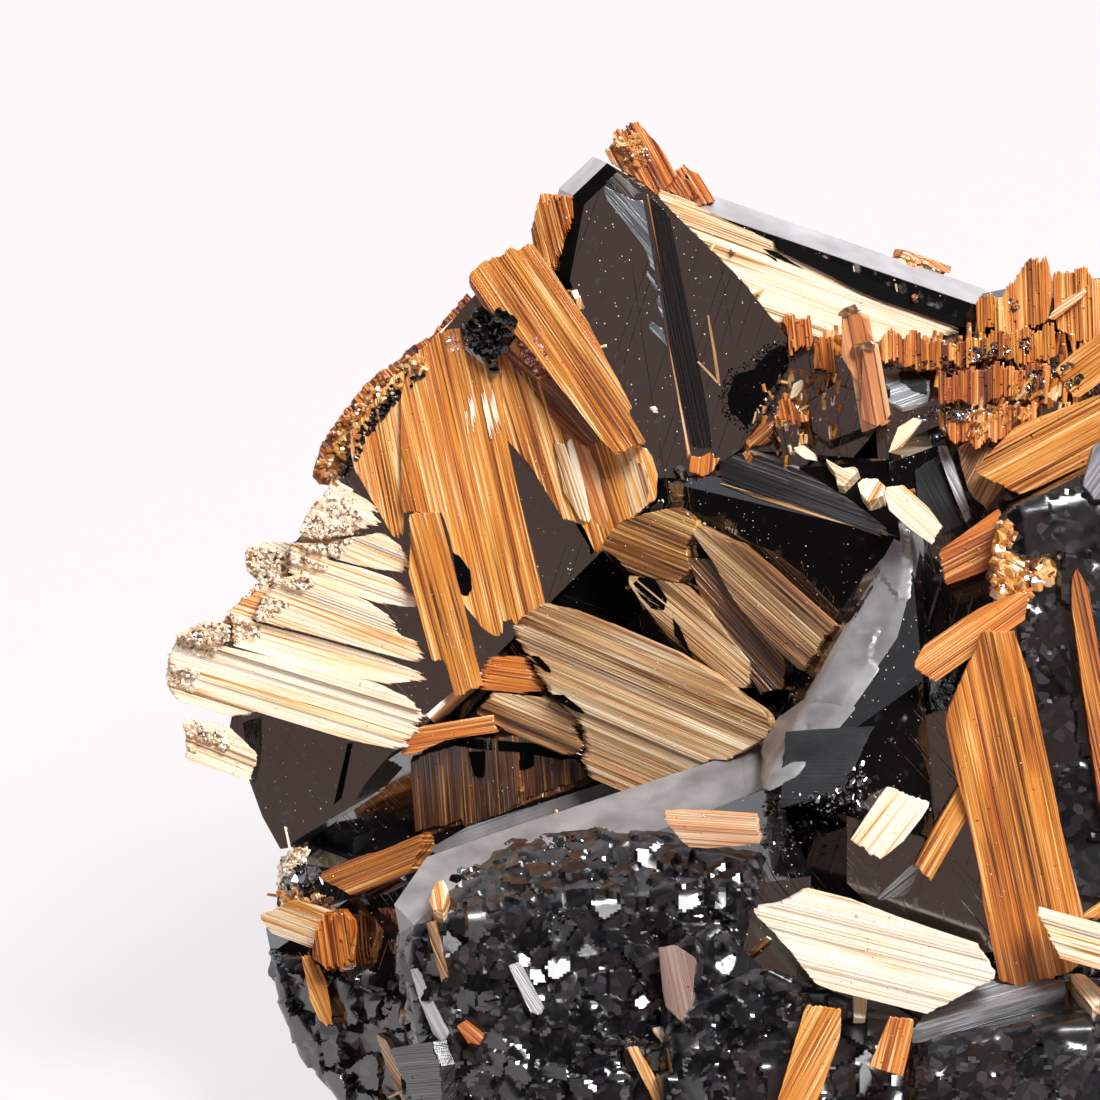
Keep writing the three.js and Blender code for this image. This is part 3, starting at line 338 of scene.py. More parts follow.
# Hematite seen edge-on: stacked growth layers, so it is striated, black and glossy.
hematite_striated = striated("hematite_striated_edges", [
    (0.0, "#050506"), (0.35, "#0d0c0e"), (0.6, "#1c1a1b"), (0.85, "#3a3534"), (1.0, "#6d675f"),
], roughness=0.22, anisotropic=0.5, level=0.25)
# Hematite faces etched or thinly coated: silvery grey, with a satin sheen.
hematite_etched = striated("hematite_etched_faces", [
    (0.0, "#4b4a4d"), (0.3, "#77757a"), (0.6, "#9b989c"), (1.0, "#c9c4c6"),
], streaks=0.5, roughness=0.42, anisotropic=0.3)
# A thin film of tarnish on growth steps: blue grey, with a silky sheen.
hematite_blue = striated("hematite_blue_film", [
    (0.0, "#2f3336"), (0.35, "#4a5257"), (0.65, "#667077"), (1.0, "#8d979c"),
], roughness=0.3, anisotropic=0.5)
# Painted reflection on the peak's bevel: the palest, silver, standing for the bright room that it mirrors.
hematite_silver = hematite_etched_face("hematite_silver_painted_reflection", [
    (0.0, "#9c9799"), (0.5, "#b9b3b5"), (1.0, "#d2cdce"),
], roughness=0.35)
# Painted shade and painted dark reflection: matt black, where no light gets back out, laid in notches, holes
# and shade, and where a mirror face shows something dark.
painted_black_shade_and_reflection = hematite_etched_face("matt_black_painted_shade_and_reflection", [
    (0.0, "#020202"), (0.5, "#040303"), (1.0, "#060505"),
], roughness=0.5, ior=1.15)
# Small black crystals in the shade of others, where only the brightest light glints.
hematite_glints = stone_grains("hematite_black_glints", [
    (0.0, "#040405"), (0.7, "#0a0a0b"), (1.0, "#232122"),
], grain=0.3, roughness=0.07, ior=1.6)
# Druses of tiny hematite plates: black, with a bright glint on those that face the light.
hematite_druse = stone_grains("hematite_druse", [
    (0.0, "#08080a"), (0.6, "#141315"), (0.85, "#2b282b"), (1.0, "#5b565a"),
], grain=0.25, roughness=0.1, ior=HEMATITE_IOR)
# Hematite broken across, in the shade: black, with a dull gleam on each facet.
hematite_crag = stone_grains("hematite_broken_crag", [
    (0.0, "#08080a"), (0.6, "#141315"), (0.85, "#2b282b"), (1.0, "#5b565a"),
], grain=0.25, roughness=0.14, ior=2.05)
# A steel blue tarnish on broken hematite.
hematite_iris = stone_grains("hematite_blue_tarnish", [
    (0.0, "#0d1a24"), (0.5, "#1d3c52"), (1.0, "#3f7390"),
], grain=0.3, roughness=0.25, ior=2.2)
# Hematite broken in the light: charcoal grey facets, each with a soft gleam.
hematite_rough = stone_grains("hematite_broken_facets", [
    (0.0, "#08080a"), (0.6, "#151416"), (0.85, "#252226"), (1.0, "#3d393d"),
], grain=0.25, roughness=0.22, ior=1.9)
# Where the specimen was split off its rock: hematite with brown iron crust, quite dull.
hematite_rock = stone_grains("hematite_split_rock", [
    (0.0, "#0b090a"), (0.5, "#1d1816"), (0.85, "#3b2c23"), (1.0, "#604733"),
], grain=0.35, roughness=0.45, ior=1.6)
# Tiny clear rutile grains: rosy red, with pale glints.
rutile_red_grains = stone_grains("rutile_red_grains", [
    (0.0, "#6a2220"), (0.4, "#b35c55"), (0.7, "#d99484"), (1.0, "#f8d3c2"),
], grain=0.12, roughness=0.15, ior=RUTILE_IOR)
# Crusts of fine pale rutile grains: like sugar, cream with golden shades.
rutile_sugar = stone_grains("rutile_sugary_crust", [
    (0.0, "#6a4526"), (0.2, "#b98a5c"), (0.45, "#e6c9a2"), (0.8, "#f7e6cd"), (1.0, "#fff6e8"),
], grain=0.09, roughness=0.3, ior=RUTILE_IOR)
# Splinters and grains of rutile: amber to pale gold, glassy.
rutile_splinters = stone_grains("rutile_splinters", [
    (0.0, "#7a3c0c"), (0.4, "#c97a26"), (0.75, "#e9ae5e"), (1.0, "#f8dda8"),
], grain=0.3, roughness=0.2, ior=RUTILE_IOR)
# Specks of rutile and rock dust on the faces: pale and quite dull.
dust = stone_grains("pale_mineral_dust", [
    (0.0, "#8d7f6d"), (0.5, "#d8cbb6"), (1.0, "#fffaf0"),
], grain=0.1, roughness=0.6, ior=1.5)
# Rutile laths as most of the sheets have: golden amber, silky, some bundles flushed with rose.
rutile_amber = striated("rutile_amber_laths", [
    (0.0, "#5a2607"), (0.2, "#a35710"), (0.42, "#cf8126"), (0.62, "#e69d44"), (0.82, "#f2bb70"),
    (1.0, "#fbdca8"),
], level=0.25, flush="#dba283")
# Painted glare: laths in cream white, with golden lines between, standing for the key light's glare on
# sheets whose laths face it; pale needles and chips take it too.
rutile_cream = striated("rutile_cream_laths", [
    (0.0, "#c07426"), (0.12, "#e6a55e"), (0.28, "#f7d6a6"), (0.5, "#fdeacf"), (1.0, "#fff7ea"),
], streaks=0.95, roughness=0.36, level=0.3, groove=0.16)
# The same painted glare, a little duller, with more golden lines.
rutile_ivory = striated("rutile_ivory_laths", [
    (0.0, "#8f5a2a"), (0.14, "#cb914f"), (0.3, "#e5c190"), (0.55, "#ecd8bb"), (1.0, "#f3e8d7"),
], streaks=1.05, roughness=0.4, level=0.2, groove=0.16)
# Stout clear columns: smooth, rosy brown, with pale streaks of light inside.
rutile_rose = striated("rutile_rose_columns", [
    (0.0, "#854217"), (0.3, "#c4702f"), (0.55, "#df9658"), (0.8, "#ecbd92"), (1.0, "#f6e1cb"),
], streaks=0.7, hair=0.1, level=0.4, groove=0.15)
# A clear column clouded by dust: dull, pinkish grey.
rutile_clouded = striated("rutile_clouded_column", [
    (0.0, "#5c443d"), (0.5, "#917469"), (1.0, "#bda69b"),
], streaks=0.5, hair=0.1, level=0.3, groove=0.15)
# Grains of rutile stained by iron, in the crusts: brown specks among the cream.
rutile_stained = stone_grains("rutile_stained_grains", [
    (0.0, "#241408"), (0.4, "#5e3a1a"), (0.8, "#9a6a38"), (1.0, "#c79a66"),
], grain=0.1, roughness=0.3, ior=RUTILE_IOR)
# Thick rutile that light has crossed: deep orange, with bright edges.
rutile_orange = striated("rutile_orange_laths", [
    (0.0, "#481a05"), (0.25, "#9a450b"), (0.5, "#cd6f18"), (0.75, "#e39039"), (1.0, "#f6c383"),
], level=0.3)
# Rutile on a dark ground, and painted shade: a brown copy of the laths for those in the shade, with golden
# lines.
rutile_brown = striated("rutile_brown_laths", [
    (0.0, "#241005"), (0.25, "#582d0e"), (0.5, "#8f561f"), (0.75, "#ba803c"), (1.0, "#e2bb78"),
], level=0.3)
# Paler, greyer laths, where a sheet is thin and the dark hematite shows through.
rutile_tan = striated("rutile_tan_laths", [
    (0.0, "#4c2d15"), (0.2, "#8a5c33"), (0.42, "#b98a58"), (0.62, "#d3ab78"), (0.82, "#e3c69a"),
    (1.0, "#f2e2c2"),
], level=0.3, flush="#d2a08c")

# The slots of the rutile's materials and the dust. All others have the hematite's.
SLOTS = {
    rutile_amber.name: "rutile_amber", rutile_tan.name: "rutile_amber",
    rutile_cream.name: "rutile_cream", rutile_ivory.name: "rutile_cream",
    rutile_clouded.name: "rutile_cream", rutile_sugar.name: "rutile_cream", dust.name: "rutile_cream",
    rutile_orange.name: "rutile_orange", rutile_rose.name: "rutile_orange",
    rutile_red_grains.name: "rutile_orange", rutile_splinters.name: "rutile_orange",
    rutile_brown.name: "rutile_brown", rutile_stained.name: "rutile_brown",
}


# Finding places on the solids.

def tree_of(nodes):
    """The solids of some nodes, in mm, to be met by rays."""
    corners, faces = [], []
    for node in nodes:
        first = len(corners)
        corners += [vertex.co / MM for vertex in node.data.vertices]
        faces += [[first + k for k in polygon.vertices] for polygon in node.data.polygons]
    return BVHTree.FromPolygons(corners, faces)


hematite_tree = tree_of([hematite_node])
solids_tree = tree_of([frame["nodes"][subpart["node"]] for subpart in frame["record"]["subparts"]])


def in_view(x, y, view=FRONT):
    """The point at a pixel of a view, level with the view's middle."""
    half = PIXELS / 2
    return VIEW_MIDDLE + view[0] * ((x - half) / PER_MM) + view[1] * ((half - y) / PER_MM)


def landing(x, y, tree=hematite_tree, view=FRONT):
    """The place and outward normal of what is met in a view, at a pixel of it."""
    toward = view[2]
    hit = tree.ray_cast(in_view(x, y, view) + toward * FAR, -toward, 2 * FAR)
    return (hit[0], hit[1]) if hit[0] is not None else None


def hematite_distance(start, direction):
    """How far the hematite is from a point in a direction, in mm."""
    hit = hematite_tree.ray_cast(start, direction, FAR)
    return hit[3] if hit[0] is not None else FAR


def inside(x, y, outline):
    """Whether a place lies within an outline."""
    odd = False
    for (x0, y0), (x1, y1) in zip(outline, outline[1:] + outline[:1]):
        if (y0 > y) != (y1 > y) and x < x0 + (x1 - x0) * (y - y0) / (y1 - y0):
            odd = not odd
    return odd


# How many places are tried for each that is wanted.
TRIES = 6
TRIES_FOR_SHEET = 30


def places_in(outline, count, numbers, tree=hematite_tree, view=FRONT):
    """Random places within an outline drawn in a view, with the normals there."""
    xs = [corner[0] for corner in outline]
    ys = [corner[1] for corner in outline]
    found = []
    for attempt in range(count * TRIES):
        x = numbers.uniform(min(xs), max(xs))
        y = numbers.uniform(min(ys), max(ys))
        met = landing(x, y, tree, view) if inside(x, y, outline) else None
        if met:
            found.append(met)
        if len(found) == count:
            break
    return found


# An outline round the whole specimen, in pixels of any view.
EVERYWHERE = [(-400, -300), (1500, -300), (1500, 1500), (-400, 1500)]


def six_ways(normal, length=1.0):
    """Steps of some length along a face, in directions 60 degrees apart."""
    level = normal.orthogonal().normalized() * length
    return [Quaternion(normal, math.radians(turn)) @ level for turn in range(0, 360, 60)]


def notches(views, count, numbers, reach=0.8):
    """Random places in some views where another face stands up within reach: notches and cracks."""
    found = []
    for view in views:
        here = 0
        for place, normal in places_in(EVERYWHERE, count * TRIES, numbers, view=view):
            if here == count:
                break
            near = min(hematite_distance(place + normal * CLEAR, way) for way in six_ways(normal))
            if near < reach and not in_photo(place, normal):
                found.append((place, normal))
                here += 1
    return found


def in_photo(place, normal):
    """Whether a place shows in the photo, where each thing is placed by itself."""
    x = PIXELS / 2 + PER_MM * (place - VIEW_MIDDLE).dot(ACROSS)
    y = PIXELS / 2 - PER_MM * (place - VIEW_MIDDLE).dot(UPWARD)
    if max(x, y) > PIXELS + MARGIN or normal.dot(TOWARD) < 0:
        return False
    return solids_tree.ray_cast(place + normal * CLEAR, TOWARD, FAR)[0] is None


PROBE = 0.6              # mm above a face, from where it is felt for
EVEN = 0.02              # mm that places on one flat face may differ


def is_bare(place, normal, marks):
    """Whether some marks round a place lie on the same flat face, with nothing on it."""
    for mark in marks:
        hit = solids_tree.ray_cast(place + mark + normal * PROBE, -normal, 2 * PROBE)
        if hit[0] is None or abs(hit[3] - PROBE) > EVEN:
            return False
    return True


# Small crystals, each modelled once.

def plate_model():
    """A tabular six-sided crystal, 1 across, with bevelled rims."""
    bpy.ops.object.select_all(action="DESELECT")
    bpy.ops.mesh.primitive_cylinder_add(vertices=6, radius=0.5, depth=0.36, end_fill_type="NGON")
    model = bpy.context.object
    bpy.ops.object.mode_set(mode="EDIT")
    pick_edges(model, lambda place: place.z > 0.1)
    bpy.ops.mesh.bevel(offset=0.12, segments=1)
    bpy.ops.object.mode_set(mode="OBJECT")
    return model


def grain_model():
    """A blocky grain, 1 across: a ball of twenty faces with its corners cut off by flat faces."""
    bpy.ops.object.select_all(action="DESELECT")
    bpy.ops.mesh.primitive_ico_sphere_add(subdivisions=1, radius=0.56)
    model = bpy.context.object
    bpy.ops.object.mode_set(mode="EDIT")
    for normal in ((1, 0.2, 0.4), (-0.5, 0.9, 0.1), (-0.2, -0.8, 0.7), (0.3, -0.4, -1)):
        bpy.ops.mesh.select_all(action="SELECT")
        bpy.ops.mesh.bisect(
            plane_co=Vector(normal).normalized() * 0.38, plane_no=normal, clear_outer=True, use_fill=True,
        )
    bpy.ops.object.mode_set(mode="OBJECT")
    return model


def prism_model():
    """An eight-sided prism, 1 high on its foot and 1 across, with a slanted, bevelled end."""
    bpy.ops.object.select_all(action="DESELECT")
    bpy.ops.mesh.primitive_cylinder_add(vertices=8, radius=0.5, depth=1, location=(0, 0, 0.5))
    model = bpy.context.object
    bpy.ops.object.transform_apply(location=True)
    bpy.ops.object.mode_set(mode="EDIT")
    bpy.ops.mesh.select_all(action="SELECT")
    bpy.ops.mesh.bisect(plane_co=(0, 0, 0.97), plane_no=(0.05, 0.03, 1), clear_outer=True, use_fill=True)
    pick_edges(model, lambda place: place.z > 0.9)
    bpy.ops.mesh.bevel(offset=0.04, segments=1)
    bpy.ops.object.mode_set(mode="OBJECT")
    return model


def scattered(name, material, model, places, size, numbers, slot=None,
              flat=(0.6, 1.3), tall=(0.6, 1.3), sink=0.2, lean=0.7, along=None, turns=(0, 6.28)):
    """Copies of a small crystal at places, each with its own size and turn, joined in one piece.

    Size is in mm. Flat, tall and sink, the depth in the surface, are shares of it, and turns are in
    radians. The crystals stand along the surface's normal, or along a given direction, and lean from
    it at random.
    """
    copies = []
    for place, normal in places:
        copy = bpy.data.objects.new("crystal", model.data.copy())
        bpy.context.scene.collection.objects.link(copy)
        stand = Vector(along) if along else normal
        wander = Vector([numbers.uniform(-1, 1) for k in range(3)])
        own = Quaternion((0, 0, 1), numbers.uniform(*turns))
        turn = (stand + wander * lean).to_track_quat("Z", "Y") @ own
        across = numbers.uniform(*size)
        scale = (across * numbers.uniform(*flat), across, across * numbers.uniform(*tall))
        foot = (place - normal * sink * across) * MM
        copy.data.transform(Matrix.LocRotScale(foot, turn, Vector(scale) * MM))
        under = min(corner.co.z for corner in copy.data.vertices)
        if under < 0:
            copy.data.transform(Matrix.Translation((0, 0, -under)))
        copies.append(copy)
    return settled(joined(copies, name), material, slot=slot)


# Broken surfaces and coats of the hematite.

WELD = 0.001             # mm within which corners are one
SKIRT = 0.5              # mm inside its outline over which a rough surface rises
TUCK = 0.03              # mm that its rim lies below the hematite's own face
PROUD = 0.01             # mm that it stands above it, at least
LOWEST = 0.02            # mm above the floor, at least
SLOPE = 0.55             # how much of the relief is a facet's tilt
CREASE = 25              # degrees between faces from which an edge is sharp


def hematite_copy(name):
    """A copy of the hematite, selected."""
    piece = bpy.data.objects.new(name, hematite_node.data.copy())
    bpy.context.scene.collection.objects.link(piece)
    only(piece)
    return piece


def skin(name, material, outline, depth, voxel, cell, rough, numbers, keep=0.35, view=FRONT):
    """A rough natural surface over part of the hematite: a copy of that part, broken into facets.

    The outline is convex, in pixels of the view, turning clockwise, and depth is how far back the
    part goes, in mm from the view's middle. Each facet is about a cell across, and has its own tilt
    and height, up to rough. Voxel is the size of the faces before all but a share, keep, are merged.
    """
    piece = hematite_copy(name)
    bpy.ops.object.mode_set(mode="EDIT")
    bpy.ops.mesh.select_all(action="SELECT")
    bpy.ops.mesh.remove_doubles(threshold=WELD * MM)
    corners = [in_view(x, y, view) for x, y in outline]
    walls = [(VIEW_MIDDLE + view[2] * depth, -view[2])]
    for first, second in zip(corners, corners[1:] + corners[:1]):
        walls.append((first, (second - first).cross(view[2]).normalized() * -1))
    for place, outward in walls:
        bpy.ops.mesh.select_all(action="SELECT")
        bpy.ops.mesh.bisect(plane_co=place * MM, plane_no=outward, clear_outer=True, use_fill=True)
    bpy.ops.object.mode_set(mode="OBJECT")
    remesh = piece.modifiers.new("even_faces", "REMESH")
    remesh.mode = "VOXEL"
    remesh.voxel_size = voxel * MM
    bpy.ops.object.modifier_apply(modifier=remesh.name)
    tilts = {}
    for vertex, normal in [(v, v.normal.copy()) for v in piece.data.vertices]:
        place = vertex.co / MM
        near = noise.voronoi(place / cell)[1][0] * cell
        key = tuple(round(c, 3) for c in near)
        if key not in tilts:
            tilts[key] = (Vector([numbers.uniform(-1, 1) for k in range(3)]), numbers.uniform(0.15, 1))
        tilt, lift = tilts[key]
        inward = min((corner - place).dot(outward) for corner, outward in walls)
        fade = min(max(inward / SKIRT, 0), 1)
        height = rough * (lift + SLOPE * (place - near).dot(tilt) / cell)
        vertex.co = (place + normal * (max(height, PROUD) * fade - TUCK * (1 - fade))) * MM
        vertex.co.z = max(vertex.co.z, LOWEST * MM)
    if keep < 1:
        thinned = piece.modifiers.new("broad_facets", "DECIMATE")
        thinned.ratio = keep
        bpy.ops.object.modifier_apply(modifier=thinned.name)
    bpy.ops.object.shade_smooth_by_angle(angle=math.radians(CREASE))
    return settled(piece, material)


FILM = 0.03              # mm that a coating is thick
SAME_WAY = 0.9999        # cosine of the angle between normals of one flat face, at least
SAME_LEVEL = 0.01        # mm that a flat face may differ


def film(name, material, spots):
    """A thin film of one material over whole faces of the hematite, those met at some pixels of the view: it
    carries painted reflection on some faces and painted shade on others.
    """
    piece = hematite_copy(name)
    faces = [landing(x, y) for x, y in spots]
    for polygon in piece.data.polygons:
        polygon.select = not any(
            polygon.normal.dot(normal) > SAME_WAY
            and abs((polygon.center / MM - place).dot(normal)) < SAME_LEVEL
            for place, normal in faces
        )
    bpy.ops.object.mode_set(mode="EDIT")
    bpy.ops.mesh.select_mode(type="FACE")
    bpy.ops.mesh.delete(type="FACE")
    bpy.ops.mesh.select_all(action="SELECT")
    bpy.ops.mesh.remove_doubles(threshold=WELD * MM)
    bpy.ops.mesh.dissolve_limited(angle_limit=math.radians(1))
    bpy.ops.object.mode_set(mode="OBJECT")
    layer = piece.modifiers.new("layer", "SOLIDIFY")
    layer.thickness = FILM * MM
    layer.offset = 0
    bpy.ops.object.modifier_apply(modifier=layer.name)
    return settled(piece, material)


# The laths of the rutile sheets.

TIP_SHARE = 0.1          # where the lath model's tips start, as a share of its length
CHAMFER = 0.12           # width of a lath's chamfered edge, as a share of its width


def lath_model():
    """One lath, 1 long, 1 wide and 1 high, chamfered along its top, with a ring near each end."""
    bpy.ops.object.select_all(action="DESELECT")
    bpy.ops.mesh.primitive_cube_add(size=1, location=(0.5, 0, -0.5))
    model = bpy.context.object
    bpy.ops.object.transform_apply(location=True)
    bpy.ops.object.mode_set(mode="EDIT")
    for side in (-0.5, 0.5):
        pick_edges(model, lambda place: place.z > -0.01 and abs(place.y - side) < 0.01)
        bpy.ops.mesh.bevel(offset=CHAMFER, segments=1)
    for share in (TIP_SHARE, 1 - TIP_SHARE):
        bpy.ops.mesh.select_all(action="SELECT")
        bpy.ops.mesh.bisect(plane_co=(share, 0, 0), plane_no=(1, 0, 0))
    bpy.ops.object.mode_set(mode="OBJECT")
    model.data.uv_layers[0].name = "grain"
    model.data.attributes.new("tone", "FLOAT", "POINT")
    return model


FACING = 0.5             # cosine of the angle to the viewer of a face that is seen, at least
COPLANAR = 0.999         # cosine of the angle between normals of faces that are measured as one


def face_of(node, angle, behind):
    """The face that a rutile node lies along: normal, grain, side, and its mesh to measure.

    The normal is that of the most area, among those toward the viewer or, behind, away from the
    hematite. The grain's angle is up from level, as seen by the viewer or from straight outside.
    """
    mesh = node.data
    corners = np.array([vertex.co for vertex in mesh.vertices]) / MM
    faces = np.array([polygon.vertices[:] for polygon in mesh.polygons])
    triangles = corners[faces]
    across = np.cross(triangles[:, 1] - triangles[:, 0], triangles[:, 2] - triangles[:, 0])
    sizes = np.linalg.norm(across, axis=1)
    normals = across / np.maximum(sizes[:, None], 1e-9)
    shared = np.where(normals @ normals.T > COPLANAR, sizes[None, :], 0).sum(axis=1)
    if behind:
        normal = Vector(normals[int(np.argmax(shared))])
        middle = Vector(triangles.reshape(-1, 3).mean(axis=0))
        if hematite_distance(middle, normal) < hematite_distance(middle, -normal):
            normal = -normal
        outward = normal
    else:
        facing = normals @ np.array(TOWARD) > FACING
        normal = Vector(normals[int(np.argmax(np.where(facing, shared, 0)))])
        outward = TOWARD
    level = Vector((0, 0, 1)).cross(outward).normalized()
    turn = math.radians(angle)
    grain = level * math.cos(turn) + outward.cross(level) * math.sin(turn)
    grain = (grain - outward * (grain.dot(normal) / outward.dot(normal))).normalized()
    tree = BVHTree.FromPolygons([Vector(c) for c in corners], [tuple(f) for f in faces.tolist()])
    return normal, grain, normal.cross(grain), tree, corners


SAMPLE = 0.05            # mm between the places where a strip's height is read
REACH = 6.0              # mm above and below the face from which it is read
SINK = 0.24              # mm that laths go below the solid, into what they grew on
SHORTEST = 0.05          # mm along the grain: no lath is shorter
STEP = 0.35              # mm: a strip that differs more from the usual height is a step of its own
LEFT_UNEVEN = 0.4        # how much of a smaller difference stays


def profile(reading, place, closing):
    """Along one line across a node's face, the stretches that lie on it: (low, high, top, foot).

    Closing is how far, in mm, laths grow past the outline, up to the pieces beside them.
    """
    normal, grain, side, tree, corners = reading
    along = corners @ np.array(grain)
    level = float((corners @ np.array(normal)).mean())
    steps = int((along.max() - along.min()) / SAMPLE) + 2
    found = []
    stretch = []
    for k in range(steps + 1):
        distance = along.min() - SAMPLE / 2 + k * SAMPLE
        hit = None
        # A line that runs past the face takes its height from the face beside it.
        for shift in (0, -closing, closing):
            base = grain * distance + side * (place + shift) + normal * level
            top = tree.ray_cast(base + normal * REACH, -normal, 2 * REACH)
            if top[0] is not None:
                foot = tree.ray_cast(base - normal * REACH, normal, 2 * REACH)
                hit = (top[0].dot(normal), (foot[0] or top[0]).dot(normal))
                break
        if hit and k < steps:
            stretch.append((distance, *hit))
        elif stretch:
            tops = sorted(s[1] for s in stretch)
            feet = sorted(s[2] for s in stretch)
            found.append((
                stretch[0][0] - SAMPLE / 2 - closing, stretch[-1][0] + SAMPLE / 2 + closing,
                tops[len(tops) // 2], feet[len(feet) // 2],
            ))
            stretch = []
    return found


def strips_of(reading, widths, closing):
    """The strips of a node's face: (middle, width, lows, highs, top, foot), with both sides' ends."""
    sides = reading[4] @ np.array(reading[2])
    place = float(sides.min()) - closing
    last = float(sides.max()) + closing
    before = profile(reading, place, closing)
    found = []
    while place < last:
        width = next(widths)
        after = profile(reading, place + width, closing)
        for a in before:
            for b in after:
                if min(a[1], b[1]) - max(a[0], b[0]) > 2 * SHORTEST:
                    found.append((
                        place + width / 2, width, (a[0], b[0]), (a[1], b[1]),
                        (a[2] + b[2]) / 2, (a[3] + b[3]) / 2,
                    ))
        before = after
        place += width
    # Small differences in height between the strips are evened out.
    usual = sorted(strip[4] for strip in found)[len(found) // 2]
    evened = []
    for middle, width, lows, highs, top, foot in found:
        share = LEFT_UNEVEN if abs(top - usual) < STEP else 1
        evened.append((middle, width, lows, highs, usual + (top - usual) * share, foot))
    return evened


LONGEST_TIP = 0.4        # a tip's share of its lath, at most
SIDES_SHOWN = 0.9        # how much of a lath's height its sides take up in the map of the grain


def fitted(axes, lows, highs, middle, width, top, foot, roll, tips, lowered, tone):
    """A copy of the lath model between two ends along the grain, with its own roll, tips and tone.

    Lows and highs are where its ends lie at its two sides, so an end can be cut aslant.
    """
    grain, side, normal = axes
    copy = bpy.data.objects.new("lath", lath.data.copy())
    bpy.context.scene.collection.objects.link(copy)
    mesh = copy.data
    shape = np.empty(len(mesh.vertices) * 3, np.float32)
    mesh.vertices.foreach_get("co", shape)
    shape = shape.reshape(-1, 3).astype(float)
    # The model's rings along the grain: its start, where its two tips begin, and its end.
    ring = np.round(shape[:, 0], 3)
    share = shape[:, 1] + 0.5
    low = lows[0] + (lows[1] - lows[0]) * share
    high = highs[0] + (highs[1] - highs[0]) * share
    room = (high - low) * LONGEST_TIP
    distance = np.select(
        [ring < 0.01, ring < 0.5, ring < 0.99],
        [low, low + np.minimum(tips[0], room), high - np.minimum(tips[1], room)], high,
    )
    narrow = np.select([ring < 0.01, ring > 0.99], [lowered[0][0], lowered[1][0]], 1.0)
    drop = np.select([ring < 0.01, ring > 0.99], [lowered[0][1], lowered[1][1]], 0.0)
    over = shape[:, 1] * width * narrow
    height = top + shape[:, 2] * (top - foot)
    # The chamfers are as high as they are wide, however high the lath.
    lip = (shape[:, 2] > -0.5) & (shape[:, 2] < -0.01)
    height = np.where(lip, top - CHAMFER * width, height)
    height = np.where(shape[:, 2] > -0.5, height + over * math.tan(roll) - drop * (top - foot), height)
    points = (np.outer(distance, grain) + np.outer(middle + over, side) + np.outer(height, normal)) * MM
    mesh.vertices.foreach_set("co", points.astype(np.float32).ravel())
    mesh.attributes["tone"].data.foreach_set("value", np.full(len(mesh.vertices), tone, np.float32))
    order = np.empty(len(mesh.loops), np.int32)
    mesh.loops.foreach_get("vertex_index", order)
    across = middle + over + shape[:, 2] * (top - foot) * SIDES_SHOWN
    flat = np.stack([distance[order], across[order]], axis=1)
    mesh.uv_layers["grain"].data.foreach_set("uv", flat.astype(np.float32).ravel())
    return copy


# How laths end: the mm that taper, the share of the width left at the end, the share of the height
# lost there, and how unevenly neighbours end, in mm.
BROKEN = dict(tip=(0.01, 0.04), narrow=(0.85, 1.0), drop=(0.0, 0.08), stagger=0.05)
STUBBY = dict(tip=(0.01, 0.04), narrow=(0.85, 1.0), drop=(0.0, 0.1), stagger=0.25)
STEPPED = dict(tip=(0.01, 0.04), narrow=(0.85, 1.0), drop=(0.0, 0.1), stagger=0.4)
CHISEL = dict(tip=(0.03, 0.12), narrow=(0.6, 0.95), drop=(0.0, 0.2), stagger=0.08)
SPLINTERED = dict(tip=(0.04, 0.16), narrow=(0.4, 0.9), drop=(0.0, 0.2), stagger=0.3)
POINTED = dict(tip=(0.1, 0.3), narrow=(0.2, 0.6), drop=(0.0, 0.2), stagger=0.12)
FADING = dict(tip=(0.3, 0.6), narrow=(0.05, 0.3), drop=(0.0, 0.0), stagger=0.5)

# Changes to the mm across a sheet: in where laths end, in their tone, and in their level.
TOGETHER = 2.6
TONE_BROAD = 2.1
TONE_FINE = 7.3
LEVELS = 3.3

OVERLAP = 1.08           # a lath's width in its strip, so that no gap shows between two
SPREAD = 0.14            # how far a lath's own tone strays from that of its bundle
BROAD = 2.2              # how much wider a broad lath is, and what share of laths are broad
BROAD_SHARE = 0.1


def ended(numbers, style, middle, place):
    """The length, narrowing, lowering and stagger of one lath's end."""
    # Neighbours end about together, each a little off.
    group = noise.noise(Vector((middle * TOGETHER, place, 3.5)))
    return (
        numbers.uniform(*style["tip"]),
        (numbers.uniform(*style["narrow"]), numbers.uniform(*style["drop"])),
        (0.4 + 1.2 * group + numbers.uniform(-0.25, 0.25)) * style["stagger"],
    )


